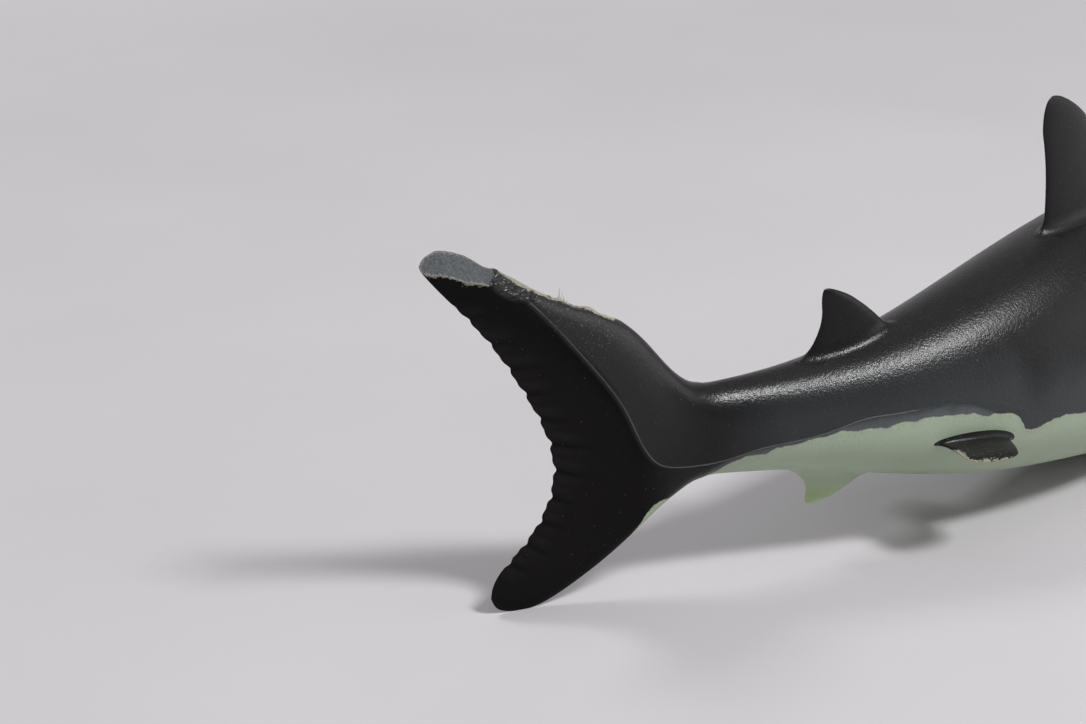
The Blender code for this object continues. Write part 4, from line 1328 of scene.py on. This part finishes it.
@dataclass(frozen=True)
class Studio:
    """Pale floor, soft light from above, and the camera at the photograph's angle."""

    floor_colour: str = "#C2BFC2"
    floor_shade: str = "#B8B5B8"
    floor_far: str = "#DAD7DA"
    camera_place: tuple[float, float, float] = (-491.2, -168.8, 180.6)
    azimuth: float = -53.9
    pitch: float = 20.7
    lens: float = 80.0

    @staticmethod
    def seen(put: Any) -> bpy.types.NodeSocket:
        """1 for what the camera sees, straight or in a reflection, through put, which adds a node."""
        straight, glossy, through = (put("LightPath", out=f"Is {kind} Ray")
                                     for kind in ("Camera", "Glossy", "Transmission"))
        mirrored = put("Math", {0: glossy, 1: through}, operation="MAXIMUM")
        return put("Math", {0: straight, 1: mirrored}, operation="MAXIMUM")

    def floor(self) -> None:
        """A sheet on the ground plane, far wider than the view. What is seen of it far away stays pale."""
        size = 12.0
        corners = np.array([[-1, -1, 0], [1, -1, 0], [1, 1, 0], [-1, 1, 0]]) * size / METRES / 2
        sheet = new_mesh("floor", corners, [np.array([[0, 1, 2, 3]])])
        material, put, place = blank("matt_board")
        cloud = put("TexNoise", {"Vector": place, "Scale": 1 / 90, "Detail": 4.0})
        shade, pale = linear(self.floor_shade), linear(self.floor_colour)
        colour = put("Mix", {0: cloud, 6: shade, 7: pale}, 2, data_type="RGBA")
        dressed(material, {"Base Color": colour, "Roughness": 0.7, "Specular IOR Level": 0.2})
        away = put("VectorMath", {0: place}, out="Value", operation="LENGTH")
        away = put("MapRange", {"Value": away, "From Min": 250.0, "From Max": 900.0},
                   interpolation_type="SMOOTHSTEP")
        far_share = put("Math", {0: away, 1: self.seen(put)}, operation="MULTIPLY")
        glow = put("Emission", {0: linear(self.floor_far), 1: 1.0})
        nodes = material.node_tree.nodes
        board = nodes["Principled BSDF"].outputs[0]
        mixed = put("MixShader", {0: far_share, 1: board, 2: glow})
        material.node_tree.links.new(mixed, nodes["Material Output"].inputs[0])
        sheet.data.materials.append(material)

    def lamp(self, name: str, place: tuple[float, float, float], target: tuple[float, float, float],
             size: tuple[float, float], watts: float) -> None:
        """One soft box, aimed at a point. Lengths are in metres."""
        light = bpy.data.lights.new(name, "AREA")
        light.shape = "RECTANGLE"
        light.size, light.size_y = size
        light.energy = watts
        lamp = bpy.data.objects.new(name, light)
        bpy.context.scene.collection.objects.link(lamp)
        lamp.location = place
        direction = np.array(target) - np.array(place)
        lamp.rotation_euler = (math.acos(-direction[2] / np.linalg.norm(direction)), 0.0,
                               math.atan2(direction[1], direction[0]) - math.pi / 2)

    def lights(self) -> None:
        """A soft box on each side, a pale wall to the right, a wide fill from above, and a pale world."""
        self.lamp("right_box", (0.02, -0.61, 0.93), (-0.06, 0.02, 0.03), (0.2, 0.2), 10.0)
        self.lamp("left_box", (-0.02, 0.75, 0.98), (-0.06, 0.02, 0.02), (0.28, 0.36), 4.2)
        self.lamp("right_wall", (0.5, -0.8, 0.34), (-0.1, 0.02, 0.03), (0.8, 0.5), 1.6)
        sky = bpy.data.lights.new("overhead_fill", "SUN")
        sky.energy, sky.angle = 0.32, math.radians(70)
        bpy.context.scene.collection.objects.link(bpy.data.objects.new("overhead_fill", sky))
        world = bpy.data.worlds.new("studio")
        world.use_nodes = True
        background = world.node_tree.nodes["Background"]
        put = partial(add, world.node_tree)
        background.inputs[0].default_value = linear("#EDEDF0")
        steep = put("SeparateXYZ", {0: put("TexCoord", out="Generated")}, out=2)
        overhead = put("MapRange", dict(enumerate((steep, 0.35, 0.75, 0.55, 0.3))))
        world.node_tree.links.new(put("Mix", {0: self.seen(put), 2: 0.31, 3: overhead}), background.inputs[1])
        bpy.context.scene.world = world

    def camera(self, snout: Array) -> None:
        """The photograph's viewpoint, worked out from the outlines in it. The snout is in millimetres."""
        lens = bpy.data.cameras.new("camera")
        lens.lens, lens.sensor_width, lens.clip_start, lens.clip_end = self.lens, 36.0, 0.01, 20.0
        camera = bpy.data.objects.new("camera", lens)
        bpy.context.scene.collection.objects.link(camera)
        camera.location = (np.array(self.camera_place) + snout) * METRES
        camera.rotation_euler = (math.radians(90 - self.pitch), 0.0, math.radians(self.azimuth))
        bpy.context.scene.camera = camera

    def build(self, snout: Array) -> None:
        """Sets up the whole studio."""
        self.floor()
        self.lights()
        self.camera(snout)
        bpy.context.scene.view_settings.view_transform = "Standard"


def snout_place() -> Array:
    """The snout's point over the ground plane: the CAD solid's foremost point, in millimetres."""
    solid = points_of(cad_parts[NODE])
    return solid[np.argmax(solid[:, 0])] * [1, 1, 0]


def main() -> None:
    """Builds the figurine, then the studio, and reports each piece."""
    logging.basicConfig(level=logging.INFO, format="%(name)s: %(message)s")
    snout = snout_place()
    plan = PaintPlan()
    tail, trunk = plan.tail, plan.tail.trunk
    painted, core = SprayedPvc().build(), TornCore().build()
    enamel, torn = EyeEnamel().build(), TornThreads().build()

    body = SharkBody(plan=plan)
    body.build(snout, painted, core)
    for fin in (
        Fin("first_dorsal_fin", Side.MIDDLE, Coat.ALL, front=76.0, base=27.0, span=25.3, lean=22.0,
            tip_chord=8.5, thickness=5.2, fillet=3.0, bulge=0.9, hollow=1.0, angle=0.0, lift=90.0),
        Fin("second_dorsal_fin", Side.MIDDLE, Coat.ALL, front=142.5, base=17.2, span=11.6, lean=11.0,
            tip_chord=3.4, thickness=3.8, fillet=2.2, bulge=0.6, hollow=2.0, angle=0.0, lift=90.0),
        Fin("anal_fin", Side.MIDDLE, Coat.NONE, front=146.0, base=15.5, span=6.8, lean=9.6,
            tip_chord=3.0, thickness=3.0, fillet=2.2, bulge=0.8, hollow=1.9, angle=180.0, lift=-90.0),
    ):
        fin.build(trunk, snout, painted)
    for side in (Side.LEFT, Side.RIGHT):
        word = side.name.lower()
        for fin in (
            Fin(f"pelvic_fin_{word}", side, Coat.TOP, front=126.0, base=12.8, span=7.8, lean=3.4,
                tip_chord=9.0, thickness=2.8, fillet=1.4, bulge=0.3, hollow=0.2, angle=112.0, lift=-5.0),
            Fin(f"pectoral_fin_{word}", side, Coat.TOP, front=46.0, base=20.0, span=37.0, lean=34.0,
                tip_chord=9.0, thickness=4.8, fillet=2.2, bulge=3.4, hollow=4.0, angle=112.0, lift=-25.3),
        ):
            fin.build(trunk, snout, painted)
        Eye(body.marks, trunk, side).build(snout, enamel)
    TornFibres(tail).build(snout, torn)
    Studio().build(snout)


if __name__ == "__main__":
    main()
